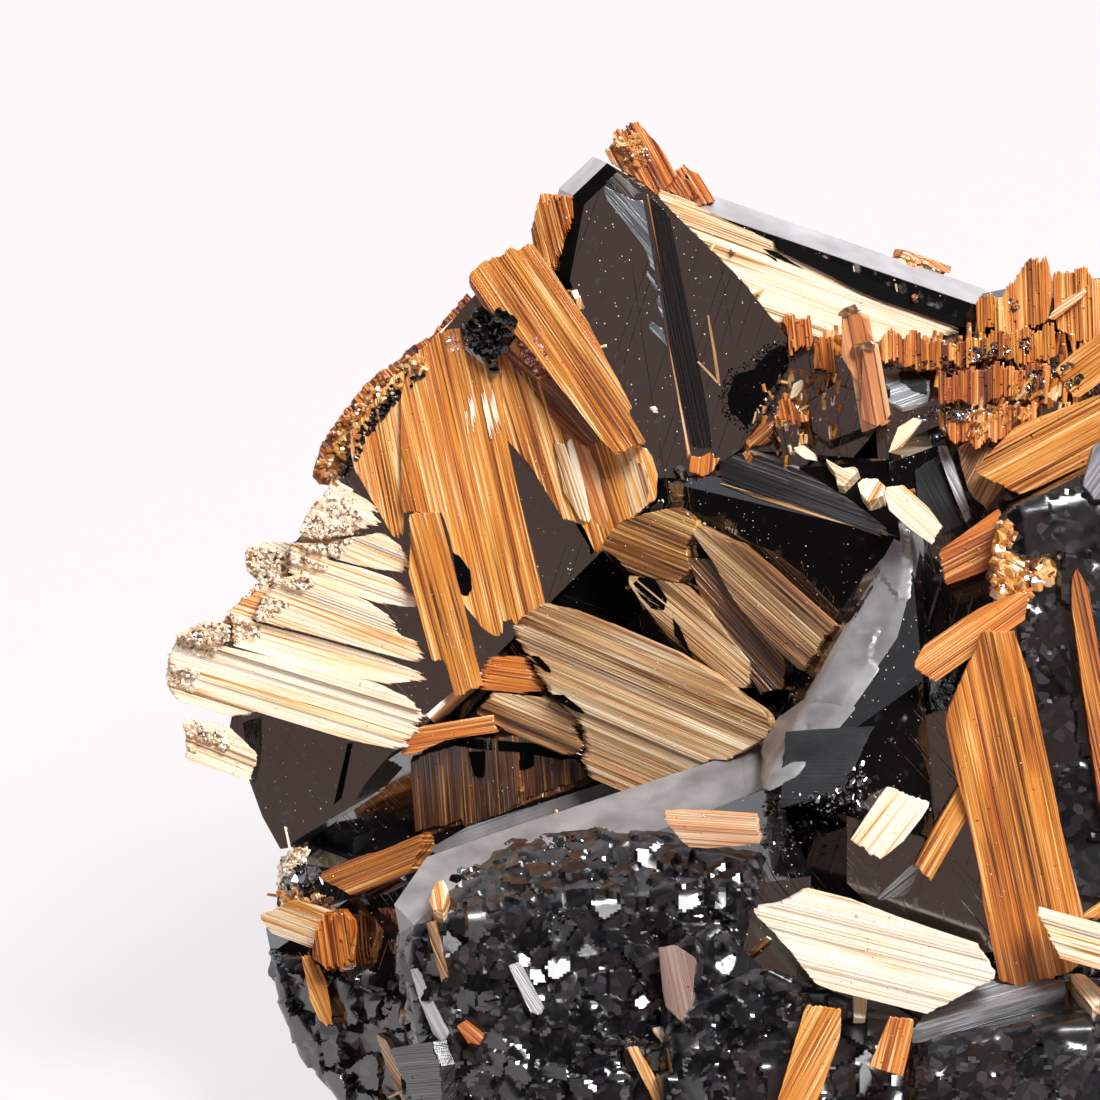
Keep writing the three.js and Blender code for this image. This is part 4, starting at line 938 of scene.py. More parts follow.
def laid(name, strips, axes, sink, roll=1.2, relief=0.009, breaks=0.35,
         ends=(BROKEN, BROKEN), tone=(0.25, 0.75), contrast=0.5):
    """Laths grown side by side along strips, with the breaks, levels and tones of a natural sheet.

    Roll is in degrees, relief in mm, and breaks the share of the laths that are broken across. Tone
    is the range of their shades, and contrast is how much bundles of them differ.
    """
    numbers = random.Random(name)
    copies = []
    for middle, strip, lows, highs, top, foot in strips:
        bundle = noise.noise(Vector((middle * TONE_BROAD, len(name), 0.5)))
        finer = noise.noise(Vector((middle * TONE_FINE, len(name), 4.5)))
        shade = 0.5 + contrast * (bundle + 0.7 * finer) + numbers.uniform(-SPREAD, SPREAD)
        level = top + relief * 2.0 * noise.noise(Vector((middle * LEVELS, len(name), 7.5)))
        cuts = [lows, highs]
        if numbers.random() < breaks:
            share = numbers.uniform(0.1, 0.9)
            cut = (lows[0] + lows[1]) / 2 * (1 - share) + (highs[0] + highs[1]) / 2 * share
            cuts.insert(1, (cut, cut))
        for k in range(len(cuts) - 1):
            first = ended(numbers, ends[0] if k == 0 else BROKEN, middle, len(name))
            second = ended(numbers, ends[1] if k == len(cuts) - 2 else BROKEN, middle, len(name) + 9)
            inset = first[2] if k == 0 else 0
            outset = second[2] if k == len(cuts) - 2 else 0
            start = (cuts[k][0] + inset, cuts[k][1] + inset)
            stop = (cuts[k + 1][0] - outset, cuts[k + 1][1] - outset)
            if stop[0] - start[0] + stop[1] - start[1] < 2 * SHORTEST:
                continue
            stop = (max(stop[0], start[0] + 0.01), max(stop[1], start[1] + 0.01))
            copies.append(fitted(
                axes, start, stop, middle, strip * OVERLAP,
                level + numbers.uniform(-relief, relief), foot - sink,
                math.radians(numbers.uniform(-roll, roll)), (first[0], second[0]), (first[1], second[1]),
                tone[0] + (tone[1] - tone[0]) * min(max(shade, 0), 1),
            ))
    return joined(copies, name)


def widths_of(numbers, width):
    """Widths of laths, most near the given one, with a broad one here and there."""
    while True:
        broad = BROAD if numbers.random() < BROAD_SHARE else 1.0
        yield width * broad * numbers.uniform(0.5, 1.5)


def laths(name, slot, grain, width=0.055, closing=0.07, behind=False, material=None, **style):
    """A rutile sheet or blade as laths grown side by side, over the outline of its node."""
    reading = face_of(frame["nodes"][name], grain, behind)
    normal, along, side = reading[:3]
    strips = strips_of(reading, widths_of(random.Random(name), width), closing)
    piece = laid(name + "_laths", strips, (along, side, normal), SINK, **style)
    return settled(piece, material or MATERIALS[slot], name, slot=slot)


def crossings(outline, place):
    """Where a line at one place across a flat outline enters and leaves it, in pairs."""
    found = []
    for (x0, y0), (x1, y1) in zip(outline, outline[1:] + outline[:1]):
        if (y0 > place) != (y1 > place):
            found.append(x0 + (x1 - x0) * (place - y0) / (y1 - y0))
    found.sort()
    return list(zip(found[::2], found[1::2]))


HAIR = 0.002             # mm inside an outline's corners, where lines across it start and end


def sheet(name, flat, axes, level, lift=0.03, width=0.055, sink=0.06, **style):
    """Laths side by side over a flat outline, given in mm along the grain and across it.

    They stand above the face by lift and go into it by sink, in mm.
    """
    widths = widths_of(random.Random(name), width)
    last = max(corner[1] for corner in flat) - HAIR
    line = min(corner[1] for corner in flat) + HAIR
    strips = []
    while line < last:
        step = min(next(widths), last - line)
        for a in crossings(flat, line):
            for b in crossings(flat, line + step):
                if min(a[1], b[1]) > max(a[0], b[0]):
                    ends = ((a[0], b[0]), (a[1], b[1]))
                    strips.append((line + step / 2, step, *ends, level + lift, level))
        line += step
    return laid(name, strips, axes, sink, **style)


def drawn(name, material, outline, grain, tree=hematite_tree, breaks=0.1, slot=None, **style):
    """Laths, growth layers and marks of painted shade and light laid on one face, over an outline in pixels
    of the view.
    """
    middle = (sum(c[0] for c in outline) / len(outline), sum(c[1] for c in outline) / len(outline))
    place, normal = landing(*middle, tree)
    along = ACROSS * math.cos(math.radians(grain)) + UPWARD * math.sin(math.radians(grain))
    along = (along - TOWARD * (along.dot(normal) / TOWARD.dot(normal))).normalized()
    side = normal.cross(along)
    flat = []
    for x, y in outline:
        corner = in_view(x, y)
        corner += TOWARD * ((place - corner).dot(normal) / TOWARD.dot(normal))
        flat.append((corner.dot(along), corner.dot(side)))
    piece = sheet(name, flat, (along, side, normal), place.dot(normal), breaks=breaks, **style)
    return settled(piece, material, slot=slot)


STEEP = 0.3              # sine of the slope of a face with sheets, at least
OFF_FLOOR = 0.2          # mm from such a sheet to the floor, at least
ROUND_IT = 1.1           # a sheet enlarged by so much must lie out of the photo


def sown(name, material, count, view, length=(1.4, 4.5), width=(0.2, 0.9), **style):
    """Thin sheets grown here and there on bare faces seen in a view, in directions 60 degrees apart."""
    numbers = random.Random(name)
    pieces = []
    for place, normal in places_in(EVERYWHERE, count * TRIES_FOR_SHEET, numbers, view=view):
        level = Vector((0, 0, 1)).cross(normal)
        if len(pieces) == count or level.length < STEEP:
            continue
        along = Quaternion(normal, math.radians(numbers.choice((30, 90, 150)))) @ level.normalized()
        side = normal.cross(along)
        half, wide = numbers.uniform(*length) / 2, numbers.uniform(*width) / 2
        marks = [along * (half * a) + side * (wide * b) for a in (-1, 0, 1) for b in (-1, 1)]
        if not is_bare(place, normal, marks) or min((place + mark).z for mark in marks) < OFF_FLOOR:
            continue
        if any(in_photo(place + mark * ROUND_IT, normal) for mark in marks):
            continue
        cut = [numbers.uniform(0.55, 1) for k in range(4)]
        shape = [(-cut[0], -1), (cut[1], -1), (1, -0.2), (cut[2], 1), (-cut[3], 1), (-1, 0.3)]
        flat = [(place.dot(along) + half * a, place.dot(side) + wide * b) for a, b in shape]
        pieces.append(sheet(
            name + str(len(pieces)), flat, (along, side, normal), place.dot(normal),
            lift=numbers.uniform(0.04, 0.16), sink=0.1, **style,
        ))
    return settled(joined(pieces, name), material)


# Growing the rutile, sheet by sheet.

lath = lath_model()

# The usual material of each slot.
MATERIALS = {
    "rutile_amber": rutile_amber, "rutile_cream": rutile_cream,
    "rutile_orange": rutile_orange, "rutile_brown": rutile_brown,
}

# Long even laths that run out in points.
TO_POINTS = dict(closing=0.075, relief=0.005, roll=0.7, ends=(CHISEL, SPLINTERED))
# Sheets that meet their neighbours.
ABUTTING = dict(closing=0.12)
# Sheets on the far side.
FROM_BEHIND = dict(behind=True)
# The upright columns of the steps.
COLUMNS = dict(width=0.06, relief=0.035, breaks=0.5, contrast=0.9, closing=0.1, ends=(STUBBY, STUBBY))

# How each sheet, blade and prism is grown: the grain's angle, and what is particular to it.
GROWTH = {
    "fan_blade": dict(grain=-56),
    "fan_lath_block": dict(grain=-75, tone=(0.3, 0.8)),
    "fan_sheet_middle": dict(grain=-77, **ABUTTING),
    "fan_sheet_right": dict(grain=-73, tone=(0.15, 0.8), contrast=0.7, **ABUTTING),
    "fan_sheet_left": dict(grain=-79, width=0.035, relief=0.02, breaks=0.9, tone=(0.4, 0.95),
                           **ABUTTING),
    "fan_rim": dict(grain=-48, relief=0.03, tone=(0.05, 0.6), **ABUTTING),
    "peak_side_patch": dict(grain=-76, ends=(STEPPED, POINTED)),
    "peak_crown_left": dict(grain=-62, relief=0.03, ends=(STUBBY, BROKEN)),
    "peak_crown_right": dict(grain=-58, relief=0.03, tone=(0.2, 0.6), ends=(STUBBY, BROKEN)),
    "arm_sheet": dict(grain=-20, tone=(0.0, 0.6), contrast=0.9, material=rutile_ivory,
                      closing=0.1, ends=(BROKEN, POINTED)),
    "arm_back_lump": dict(grain=-18, relief=0.05, ends=(STEPPED, STEPPED)),
    "left_sheet_top": dict(grain=-28, **TO_POINTS),
    "left_sheet_second": dict(grain=-22, **TO_POINTS),
    "left_sheet_third": dict(grain=-19, **TO_POINTS),
    "left_sheet_fourth": dict(grain=-20, **TO_POINTS),
    "left_sheet_fifth": dict(grain=-16, **TO_POINTS),
    "left_sheet_lowest": dict(grain=-17, **TO_POINTS),
    "left_back_stub": dict(grain=-25),
    "left_low_stub": dict(grain=-22),
    "middle_sheet": dict(grain=-23, tone=(0.3, 0.95), material=rutile_tan, ends=(POINTED, BROKEN)),
    "middle_under_blade": dict(grain=-23, tone=(0.1, 0.7), material=rutile_tan, **TO_POINTS),
    "middle_fringe": dict(grain=-8, ends=(POINTED, POINTED)),
    "middle_curved_blade": dict(grain=9),
    "saddle_sheet_brown": dict(grain=-22, tone=(0.3, 0.95), contrast=0.7),
    "saddle_sheet_tan": dict(grain=-40, material=rutile_tan),
    "saddle_blade": dict(grain=-42, tone=(0.0, 0.65), material=rutile_tan),
    "shaded_laths": dict(grain=-86, tone=(0.0, 0.38), contrast=0.35),
    "twin_prism_left": dict(grain=-80, width=0.2, relief=0.02, material=rutile_rose,
                            ends=(STUBBY, BROKEN)),
    "twin_prism_right": dict(grain=-80, width=0.2, relief=0.02, material=rutile_rose),
    "saddle_stub_left": dict(grain=-84, width=0.09, relief=0.05, ends=(STEPPED, STEPPED)),
    "saddle_stub_right": dict(grain=-84, width=0.09, relief=0.05, ends=(STEPPED, STEPPED)),
    "facet_prism": dict(grain=-78, relief=0.05, ends=(STEPPED, STEPPED)),
    "step_crest_left": dict(grain=-88, **COLUMNS),
    "step_crest_right": dict(grain=-88, **COLUMNS),
    "step_second": dict(grain=-89, material=rutile_amber, tone=(0.0, 0.7), **COLUMNS),
    "step_third": dict(grain=-90, tone=(0.1, 0.7), **COLUMNS),
    "step_fourth": dict(grain=-90, **COLUMNS),
    "step_tan_blade": dict(grain=36),
    "right_blade_upper": dict(grain=28),
    "right_blade_lower": dict(grain=27),
    "bent_rod_low": dict(grain=-42),
    "right_orange_blade": dict(grain=35),
    "front_amber_blade": dict(grain=-78, tone=(0.2, 0.7)),
    "front_cream_blade": dict(grain=-14, tone=(0.4, 0.9), contrast=0.3),
    "front_cream_chip": dict(grain=52),
    "front_tan_prism": dict(grain=60),
    "front_right_cream": dict(grain=-16),
    "front_low_prism_left": dict(grain=62),
    "front_low_prism_right": dict(grain=76),
    "ridge_peach_patch": dict(grain=-4, material=rutile_rose, tone=(0.5, 0.9)),
    "crag_cream_blade": dict(grain=-20, tone=(0.0, 0.4)),
    "crag_orange_lump": dict(grain=-82, relief=0.05, tone=(0.0, 0.55), ends=(STEPPED, STEPPED)),
    "crag_orange_blade": dict(grain=22, material=rutile_amber, tone=(0.2, 0.8)),
    "crag_brown_blade": dict(grain=-66),
    "back_sheet_upper": dict(grain=66, ends=(STEPPED, STEPPED), **FROM_BEHIND),
    "back_sheet_left": dict(grain=-58, **FROM_BEHIND),
    "back_sheet_middle": dict(grain=8, **FROM_BEHIND),
    "back_sheet_low": dict(grain=62, ends=(STEPPED, POINTED), **FROM_BEHIND),
    "right_side_sheet": dict(grain=-70, **FROM_BEHIND),
}
for subpart in frame["record"]["subparts"]:
    if subpart["node"] in GROWTH:
        laths(subpart["node"], subpart["material_slot"], **GROWTH[subpart["node"]])

# On the rutile too, not only on the hematite.
ON_TOP = dict(tree=solids_tree)
# Flat dark marks: painted shade and painted dark reflections.
MATT = dict(lift=0.008, roll=0, relief=0)
MATT_ON_TOP = dict(**MATT, **ON_TOP)
# Painted highlights: pale streaks of gloss drawn on a sheet.
PAINTED_GLOSS = dict(lift=0.03, tone=(0.5, 1.0), width=0.04, ends=(FADING, FADING), **ON_TOP)
# Stout clear columns with a few broad facets.
STOUT = dict(width=0.26, roll=14, relief=0.02, breaks=0.0, sink=0.5, tone=(0.1, 0.9), contrast=0.9,
             **ON_TOP)

# Sheets too thin or small for the frame, drawn on the faces that they grew on, and marks of painted shade,
# shadow, reflection and highlight drawn the same way: the material, the grain's angle, what is particular,
# and the outline.
DRAWN = {
    "peak_black_band": (hematite_striated, 282, dict(tone=(0.0, 0.35), contrast=0.9), [
        (647, 193), (660, 205), (669, 215), (685, 293), (698, 358), (712, 438), (712, 450),
        (691, 447), (682, 407), (670, 346), (659, 266)]),
    "peak_golden_line": (rutile_tan, 281, dict(lift=0.05, tone=(0.1, 0.6)), [
        (644, 193), (648, 193), (661, 266), (672, 346), (684, 407), (693, 460), (688, 460),
        (680, 407), (668, 346), (657, 266)]),
    "peak_growth_upper": (hematite_blue, -48, dict(lift=0.02), [
        (601, 184), (608, 203), (638, 238), (646, 250), (650, 266), (656, 275), (649, 235),
        (643, 199), (633, 199)]),
    "peak_growth_middle": (hematite_blue, -48, dict(lift=0.02), [
        (646, 268), (658, 286), (665, 322), (661, 315), (656, 302), (658, 293), (647, 277)]),
    "peak_growth_lower": (hematite_blue, -48, dict(lift=0.02), [
        (651, 321), (663, 329), (668, 348), (649, 328)]),
    "peak_top_patch": (hematite_striated, -48, dict(lift=0.03, tone=(0.3, 1.0)), [
        (605, 182), (618, 172), (641, 193), (633, 199)]),
    # Painted dark reflection: on the peak's mirror face, of the dark crystals beside it.
    "peak_dark_patch": (painted_black_shade_and_reflection, -48, MATT, [
        (785, 345), (787, 361), (765, 406), (746, 430), (739, 418), (730, 413), (726, 393),
        (735, 376), (754, 368), (768, 350)]),
    "peak_chip": (rutile_brown, -58,
                  dict(slot="rutile_amber", lift=0.12, roll=16, width=0.1, tone=(0.5, 1.0)), [
        (568, 290), (575, 290), (584, 307), (581, 314)]),
    "peak_tuft": (rutile_orange, 84, dict(lift=0.25, ends=(BROKEN, STEPPED)), [
        (689, 472), (690, 452), (700, 458), (712, 448), (722, 452), (716, 470), (702, 478)]),
    "fan_sheet_join": (rutile_amber, -75, dict(lift=0.32), [
        (484, 352), (514, 354), (540, 420), (560, 466), (538, 452), (503, 428), (494, 390)]),
    "fan_dark_hole": (painted_black_shade_and_reflection, -75, dict(lift=0.5, roll=0, relief=0), [
        (452, 551), (460, 556), (470, 570), (473, 588), (468, 598), (460, 595), (456, 575)]),
    "facet_blue_grey": (hematite_blue, 20, dict(lift=0.06, tone=(0.8, 1.0), contrast=0.3), [
        (883, 363), (905, 367), (931, 382), (930, 402), (905, 411), (888, 404)]),
    # Painted shade: the darker half of the blue grey facet.
    "facet_dark_half": (hematite_slate, 20, dict(lift=0.08, roll=0), [
        (898, 374), (912, 372), (929, 383), (928, 398), (914, 394), (900, 384)]),
    "g_face_line": (rutile_cream, 38, dict(lift=0.08, width=0.05), [
        (428, 716), (446, 700), (470, 680), (508, 650), (512, 654), (474, 688), (448, 712), (432, 722)]),
    "g_face_band": (hematite_striated, 74, dict(lift=0.03, tone=(0.1, 0.8)), [
        (242, 722), (262, 716), (262, 750), (256, 790), (250, 775)]),
    "g_needle_left": (rutile_cream, -72, dict(lift=0.06), [
        (283, 826), (286, 826), (293, 850), (289, 851)]),
    "g_needle_right": (rutile_cream, 47, dict(lift=0.06), [
        (306, 848), (308, 849), (340, 813), (338, 811)]),
    "center_line_long": (rutile_tan, -17, dict(lift=0.05, tone=(0.2, 0.6)), [
        (720, 483), (760, 496), (820, 514), (886, 533), (886, 536), (820, 518), (758, 499), (720, 486)]),
    "center_line_short": (hematite_etched, -16, dict(lift=0.04), [
        (738, 447), (775, 457), (800, 468), (799, 471), (772, 461), (738, 450)]),
    "center_striae": (hematite_striated, -20, dict(lift=0.04, tone=(0.0, 0.8), contrast=1.2), [
        (716, 456), (745, 452), (800, 470), (850, 500), (888, 530), (880, 536), (820, 514), (760, 496),
        (722, 482)]),
    "right_lath": (rutile_amber, -78, dict(lift=0.5, tone=(0.0, 0.6)), [
        (1068, 560), (1084, 590), (1100, 690), (1108, 840), (1094, 800), (1078, 690), (1066, 600)]),
    "right_striated_face": (hematite_etched, 55, dict(lift=0.4, tone=(0.0, 0.5)), [
        (1078, 486), (1088, 450), (1108, 430), (1108, 500), (1090, 500)]),
    "ridge_needle_gold": (rutile_tan, -66, dict(lift=0.45, tone=(0.1, 0.5)), [
        (429, 920), (438, 919), (452, 974), (444, 977)]),
    "ridge_rod_peach": (rutile_cream, -80, dict(lift=0.5, tone=(0.0, 0.3)), [
        (438, 893), (446, 891), (451, 900), (446, 920), (436, 921), (432, 912)]),
    "ridge_rod_lilac": (hematite_etched, -57, dict(lift=0.4), [
        (507, 962), (520, 960), (547, 1006), (541, 1015), (530, 1010)]),
    "ridge_rod_left": (hematite_etched, -62, dict(lift=0.4), [
        (410, 966), (420, 964), (452, 1030), (446, 1040), (436, 1030)]),
    "ridge_chip_orange": (rutile_orange, -40, dict(lift=0.45), [
        (458, 1020), (468, 1016), (486, 1030), (484, 1042), (470, 1038)]),
    "front_tan_rod": (rutile_cream, -66, dict(lift=0.5, tone=(0.0, 0.35)), [
        (626, 1046), (640, 1043), (660, 1085), (668, 1104), (656, 1104), (644, 1084)]),
    "front_white_tip": (rutile_cream, -32, dict(lift=0.5), [
        (650, 1027), (664, 1024), (686, 1040), (682, 1051), (664, 1044)]),
    "front_pink_column": (rutile_clouded, -78, dict(lift=0.4), [
        (656, 950), (676, 946), (698, 958), (694, 1006), (684, 1022), (668, 1008)]),
    "front_right_chip": (rutile_cream, -50, dict(lift=0.5, tone=(0.1, 0.6)), [
        (1063, 985), (1080, 986), (1096, 1000), (1096, 1015), (1088, 1019), (1076, 1004)]),
    "front_grey_slab": (hematite_etched, 16, dict(lift=0.4, tone=(0.0, 0.3)), [
        (908, 1038), (930, 1006), (1000, 982), (1061, 988), (1062, 996), (1000, 1012), (922, 1036)]),
    "front_silver_rods": (hematite_etched, 38, dict(lift=0.3, width=0.12, tone=(0.5, 1.0)), [
        (874, 896), (910, 862), (926, 866), (906, 892), (898, 888), (882, 902)]),
    "front_cream_rod": (rutile_cream, -86, dict(lift=0.5, tone=(0.5, 1.0)), [
        (849, 998), (858, 996), (864, 1000), (862, 1026), (850, 1024)]),
    "crag_tan_blade": (rutile_cream, -56, dict(lift=0.45, tone=(0.0, 0.4)), [
        (384, 1030), (394, 1036), (414, 1074), (424, 1104), (414, 1104), (396, 1066)]),
    "crag_black_steps": (hematite_striated, 6, dict(lift=0.4, relief=0.03, tone=(0.0, 0.7)), [
        (402, 1044), (445, 1036), (454, 1060), (456, 1100), (430, 1104)]),
    "peak_needle_long": (rutile_tan, -79, dict(lift=0.06, tone=(0.1, 0.5)), [
        (706, 316), (709, 316), (716, 352), (721, 384), (718, 384), (712, 352)]),
    "peak_needle_thin": (rutile_tan, -44, dict(lift=0.05, tone=(0.4, 0.7)), [
        (697, 362), (699, 361), (721, 384), (720, 386)]),
    "peak_crown_middle": (rutile_orange, -58,
                          dict(lift=0.3, relief=0.05, ends=(STEPPED, STEPPED), **ON_TOP), [
        (646, 158), (660, 158), (676, 170), (692, 176), (700, 196), (696, 206), (676, 196), (655, 182)]),
    "fan_gloss_left": (rutile_cream, -78, PAINTED_GLOSS, [
        (462, 398), (465, 396), (471, 434), (467, 436)]),
    "fan_gloss_second": (rutile_cream, -78, PAINTED_GLOSS, [
        (467, 395), (473, 394), (480, 432), (474, 436)]),
    "fan_gloss_third": (rutile_cream, -77, PAINTED_GLOSS, [
        (480, 392), (485, 391), (494, 430), (489, 434)]),
    "fan_gloss_right": (rutile_cream, -76, PAINTED_GLOSS, [
        (488, 392), (493, 391), (502, 428), (497, 433)]),
    # Painted shade: the blade's shadow on the fan, drawn as darker laths, with its darkest part beside it.
    "fan_tongue": (rutile_amber, -42,
                   dict(slot="rutile_brown", lift=0.05, tone=(0.0, 0.35), contrast=0.8, **ON_TOP), [
        (503, 352), (514, 351), (546, 376), (580, 408), (598, 432), (598, 444), (586, 447), (560, 428),
        (545, 410), (524, 380)]),
    "fan_tongue_shade": (rutile_brown, -48, dict(lift=0.1, tone=(0.2, 0.5), **ON_TOP), [
        (540, 370), (552, 378), (582, 410), (600, 434), (596, 443), (584, 436), (562, 408), (548, 390)]),
    "fan_cream_strip": (rutile_tan, -72, dict(lift=0.02, tone=(0.5, 1.0), **ON_TOP), [
        (553, 440), (566, 444), (586, 505), (588, 524), (580, 520), (564, 492)]),
    "fan_rose_strip": (rutile_rose, -71, dict(lift=0.02, tone=(0.2, 0.8), **ON_TOP), [
        (573, 442), (590, 448), (598, 470), (608, 520), (604, 530), (594, 520)]),
    "fan_tan_end": (rutile_tan, -74, dict(lift=0.02, tone=(0.3, 0.8), **ON_TOP), [
        (620, 462), (640, 460), (648, 475), (650, 500), (640, 512), (630, 516)]),
    # Painted shadow: a black corner beside the fan's sheets.
    "fan_black_corner": (painted_black_shade_and_reflection, -50, MATT, [
        (571, 516), (580, 513), (590, 523), (598, 537), (600, 548), (594, 553), (590, 558), (589, 546),
        (580, 532)]),
    "fan_small_hole": (painted_black_shade_and_reflection, -60, dict(lift=0.05, roll=0, relief=0, **ON_TOP), [
        (485, 595), (489, 596), (500, 610), (503, 620), (498, 618), (490, 608)]),
    # Painted highlight: a pale streak fading out at both ends.
    "fan_gloss_join": (rutile_cream, -73, dict(lift=0.36, tone=(0.0, 0.5), ends=(FADING, FADING)), [
        (522, 402), (534, 400), (545, 430), (536, 434)]),
    "fan_pale_streak": (rutile_cream, -72, dict(lift=0.03, tone=(0.3, 0.9), **ON_TOP), [
        (566, 440), (572, 438), (592, 515), (590, 526), (584, 518)]),
    "blade_splinter_upper": (rutile_cream, -64, dict(lift=0.06, **ON_TOP), [
        (600, 352), (603, 351), (632, 410), (630, 412)]),
    "blade_splinter_lower": (rutile_cream, -62, dict(lift=0.06, **ON_TOP), [
        (606, 392), (609, 391), (640, 444), (637, 446)]),
    "middle_black_face": (painted_black_shade_and_reflection, -20, MATT, [
        (543, 607), (592, 557), (603, 550), (622, 571), (640, 600), (652, 630), (664, 652), (600, 628),
        (565, 612)]),
    "middle_needle": (rutile_cream, 47, dict(lift=0.2, tone=(0.1, 0.6), **ON_TOP), [
        (655, 592), (657, 594), (682, 567), (680, 565)]),
    "middle_mark_upper": (painted_black_shade_and_reflection, -30, MATT_ON_TOP, [
        (632, 583), (640, 576), (655, 580), (668, 600), (664, 612), (650, 608), (640, 596)]),
    "middle_mark_right": (painted_black_shade_and_reflection, 20, MATT_ON_TOP, [
        (668, 604), (680, 597), (690, 598), (691, 606), (680, 612), (670, 612)]),
    "middle_mark_lower": (painted_black_shade_and_reflection, -60, MATT_ON_TOP, [
        (672, 616), (680, 628), (692, 656), (686, 652), (674, 634)]),
    "middle_notch_left": (painted_black_shade_and_reflection, -14, MATT_ON_TOP, [
        (505, 690), (520, 687), (536, 690), (546, 698), (545, 703), (530, 701), (512, 697)]),
    "middle_notch_right": (painted_black_shade_and_reflection, -34, MATT_ON_TOP, [
        (550, 694), (562, 694), (576, 704), (587, 715), (574, 711), (560, 703)]),
    "middle_notch_upper": (painted_black_shade_and_reflection, -38, MATT_ON_TOP, [
        (531, 655), (538, 656), (549, 666), (553, 674), (546, 672), (536, 664)]),
    "shaded_notch_wide": (painted_black_shade_and_reflection, 2, MATT_ON_TOP, [
        (443, 744), (470, 738), (520, 742), (560, 748), (585, 757), (560, 760), (520, 752), (480, 750)]),
    "shaded_notch_left": (painted_black_shade_and_reflection, 84, MATT_ON_TOP, [
        (468, 752), (486, 752), (484, 778), (474, 776)]),
    "shaded_notch_right": (painted_black_shade_and_reflection, 84, MATT_ON_TOP, [
        (505, 752), (534, 750), (534, 766), (520, 772), (508, 766)]),
    "saddle_brown_band": (rutile_brown, -48, dict(lift=0.3, tone=(0.0, 0.4), contrast=0.3), [
        (690, 556), (716, 560), (752, 606), (790, 660), (786, 690), (764, 694), (738, 650), (706, 600)]),
    "saddle_chip_amber": (rutile_amber, 84, dict(lift=0.3), [
        (775, 418), (781, 408), (797, 406), (801, 416), (800, 428), (783, 431), (776, 428)]),
    "saddle_chip_low": (rutile_cream, -30, dict(lift=0.3), [
        (794, 447), (803, 445), (814, 452), (818, 461), (806, 459), (796, 453)]),
    "saddle_strip": (rutile_amber, -76, dict(lift=0.3), [
        (802, 407), (809, 405), (812, 430), (816, 450), (810, 445), (805, 425)]),
    "saddle_chip_high": (rutile_cream, 40, dict(lift=0.3), [
        (789, 398), (794, 385), (803, 380), (804, 388), (797, 398), (790, 403)]),
    "saddle_tuft": (rutile_orange, 42, dict(lift=0.3, ends=(STEPPED, POINTED)), [
        (742, 450), (752, 434), (762, 424), (774, 422), (775, 440), (765, 446), (752, 448)]),
    "saddle_rod": (rutile_cream, 44, dict(lift=0.4, tone=(0.1, 0.7)), [
        (888, 456), (898, 429), (914, 418), (924, 421), (905, 447), (894, 460)]),
    "saddle_knob": (rutile_cream, 60, dict(lift=0.4, tone=(0.1, 0.7)), [
        (860, 494), (868, 487), (880, 489), (888, 496), (884, 508), (870, 512), (862, 504)]),
    "saddle_fork": (rutile_tan, -30, dict(lift=0.3, tone=(0.5, 1.0)), [
        (826, 466), (834, 468), (842, 476), (858, 474), (861, 479), (846, 495), (838, 492), (836, 480)]),
    "right_tan_mass": (rutile_tan, 62, dict(lift=0.4, width=0.09, relief=0.05), [
        (958, 450), (975, 440), (999, 452), (1004, 490), (988, 513), (968, 494)]),
    "ridge_dark_facet": (hematite_slate, 0, MATT, [
        (783, 730), (873, 725), (842, 789), (778, 807)]),
    "shaded_laths_low": (rutile_brown, -86, dict(tone=(0.0, 0.35), lift=0.1), [
        (416, 826), (470, 812), (520, 797), (580, 777), (636, 760), (640, 768), (580, 788), (520, 807),
        (470, 822), (425, 838)]),
    # Painted reflection: the crest's grey lip.
    "ridge_crest_lip": (hematite_crest, 20, dict(lift=0.06, roll=0, relief=0.01), [
        (428, 850), (470, 826), (520, 811), (580, 791), (640, 771), (650, 784), (580, 808), (520, 826),
        (470, 842), (436, 856)]),
    "peak_smudge": (rutile_cream, -20, dict(lift=0.02, width=0.03, ends=(POINTED, POINTED)), [
        (650, 408), (655, 405), (662, 409), (661, 414), (655, 413)]),
    "arm_black_edge": (painted_black_shade_and_reflection, -22, dict(lift=0.5, roll=0, relief=0, sink=0.45), [
        (770, 239), (809, 254), (855, 275), (901, 297), (962, 322), (966, 332), (935, 322),
        (912, 313), (882, 303), (855, 292), (828, 277), (802, 265), (775, 251)]),
    "arm_dark_line_upper": (painted_black_shade_and_reflection, -27, MATT_ON_TOP, [
        (757, 243), (776, 251), (797, 263), (810, 271), (792, 265), (770, 254)]),
    "arm_dark_line_lower": (painted_black_shade_and_reflection, -25, MATT_ON_TOP, [
        (762, 251), (784, 262), (792, 268), (776, 261)]),
    "arm_needle_left": (rutile_cream, -77, dict(lift=0.08), [
        (851, 266), (854, 265), (860, 292), (857, 293)]),
    "arm_needle_right": (rutile_tan, -78, dict(lift=0.06), [
        (895, 284), (897, 284), (901, 303), (899, 303)]),
    "twin_front_left": (rutile_rose, -79, dict(lift=0.06, **STOUT), [
        (835, 315), (841, 310), (852, 306), (859, 312), (868, 324), (873, 342), (878, 380), (860, 384),
        (848, 376), (841, 356)]),
    "twin_front_right": (rutile_rose, -80, dict(lift=0.3, **STOUT), [
        (851, 347), (860, 345), (873, 342), (878, 348), (890, 416), (883, 425), (871, 430), (862, 420),
        (856, 384)]),
    "twin_cap_left": (rutile_stained, 30, dict(lift=0.12, **ON_TOP), [
        (836, 316), (841, 310), (854, 304), (860, 311), (855, 313), (842, 318)]),
    "twin_cap_right": (rutile_stained, 8, dict(lift=0.36, **ON_TOP), [
        (851, 346), (858, 342), (870, 340), (876, 344), (872, 349), (860, 349)]),
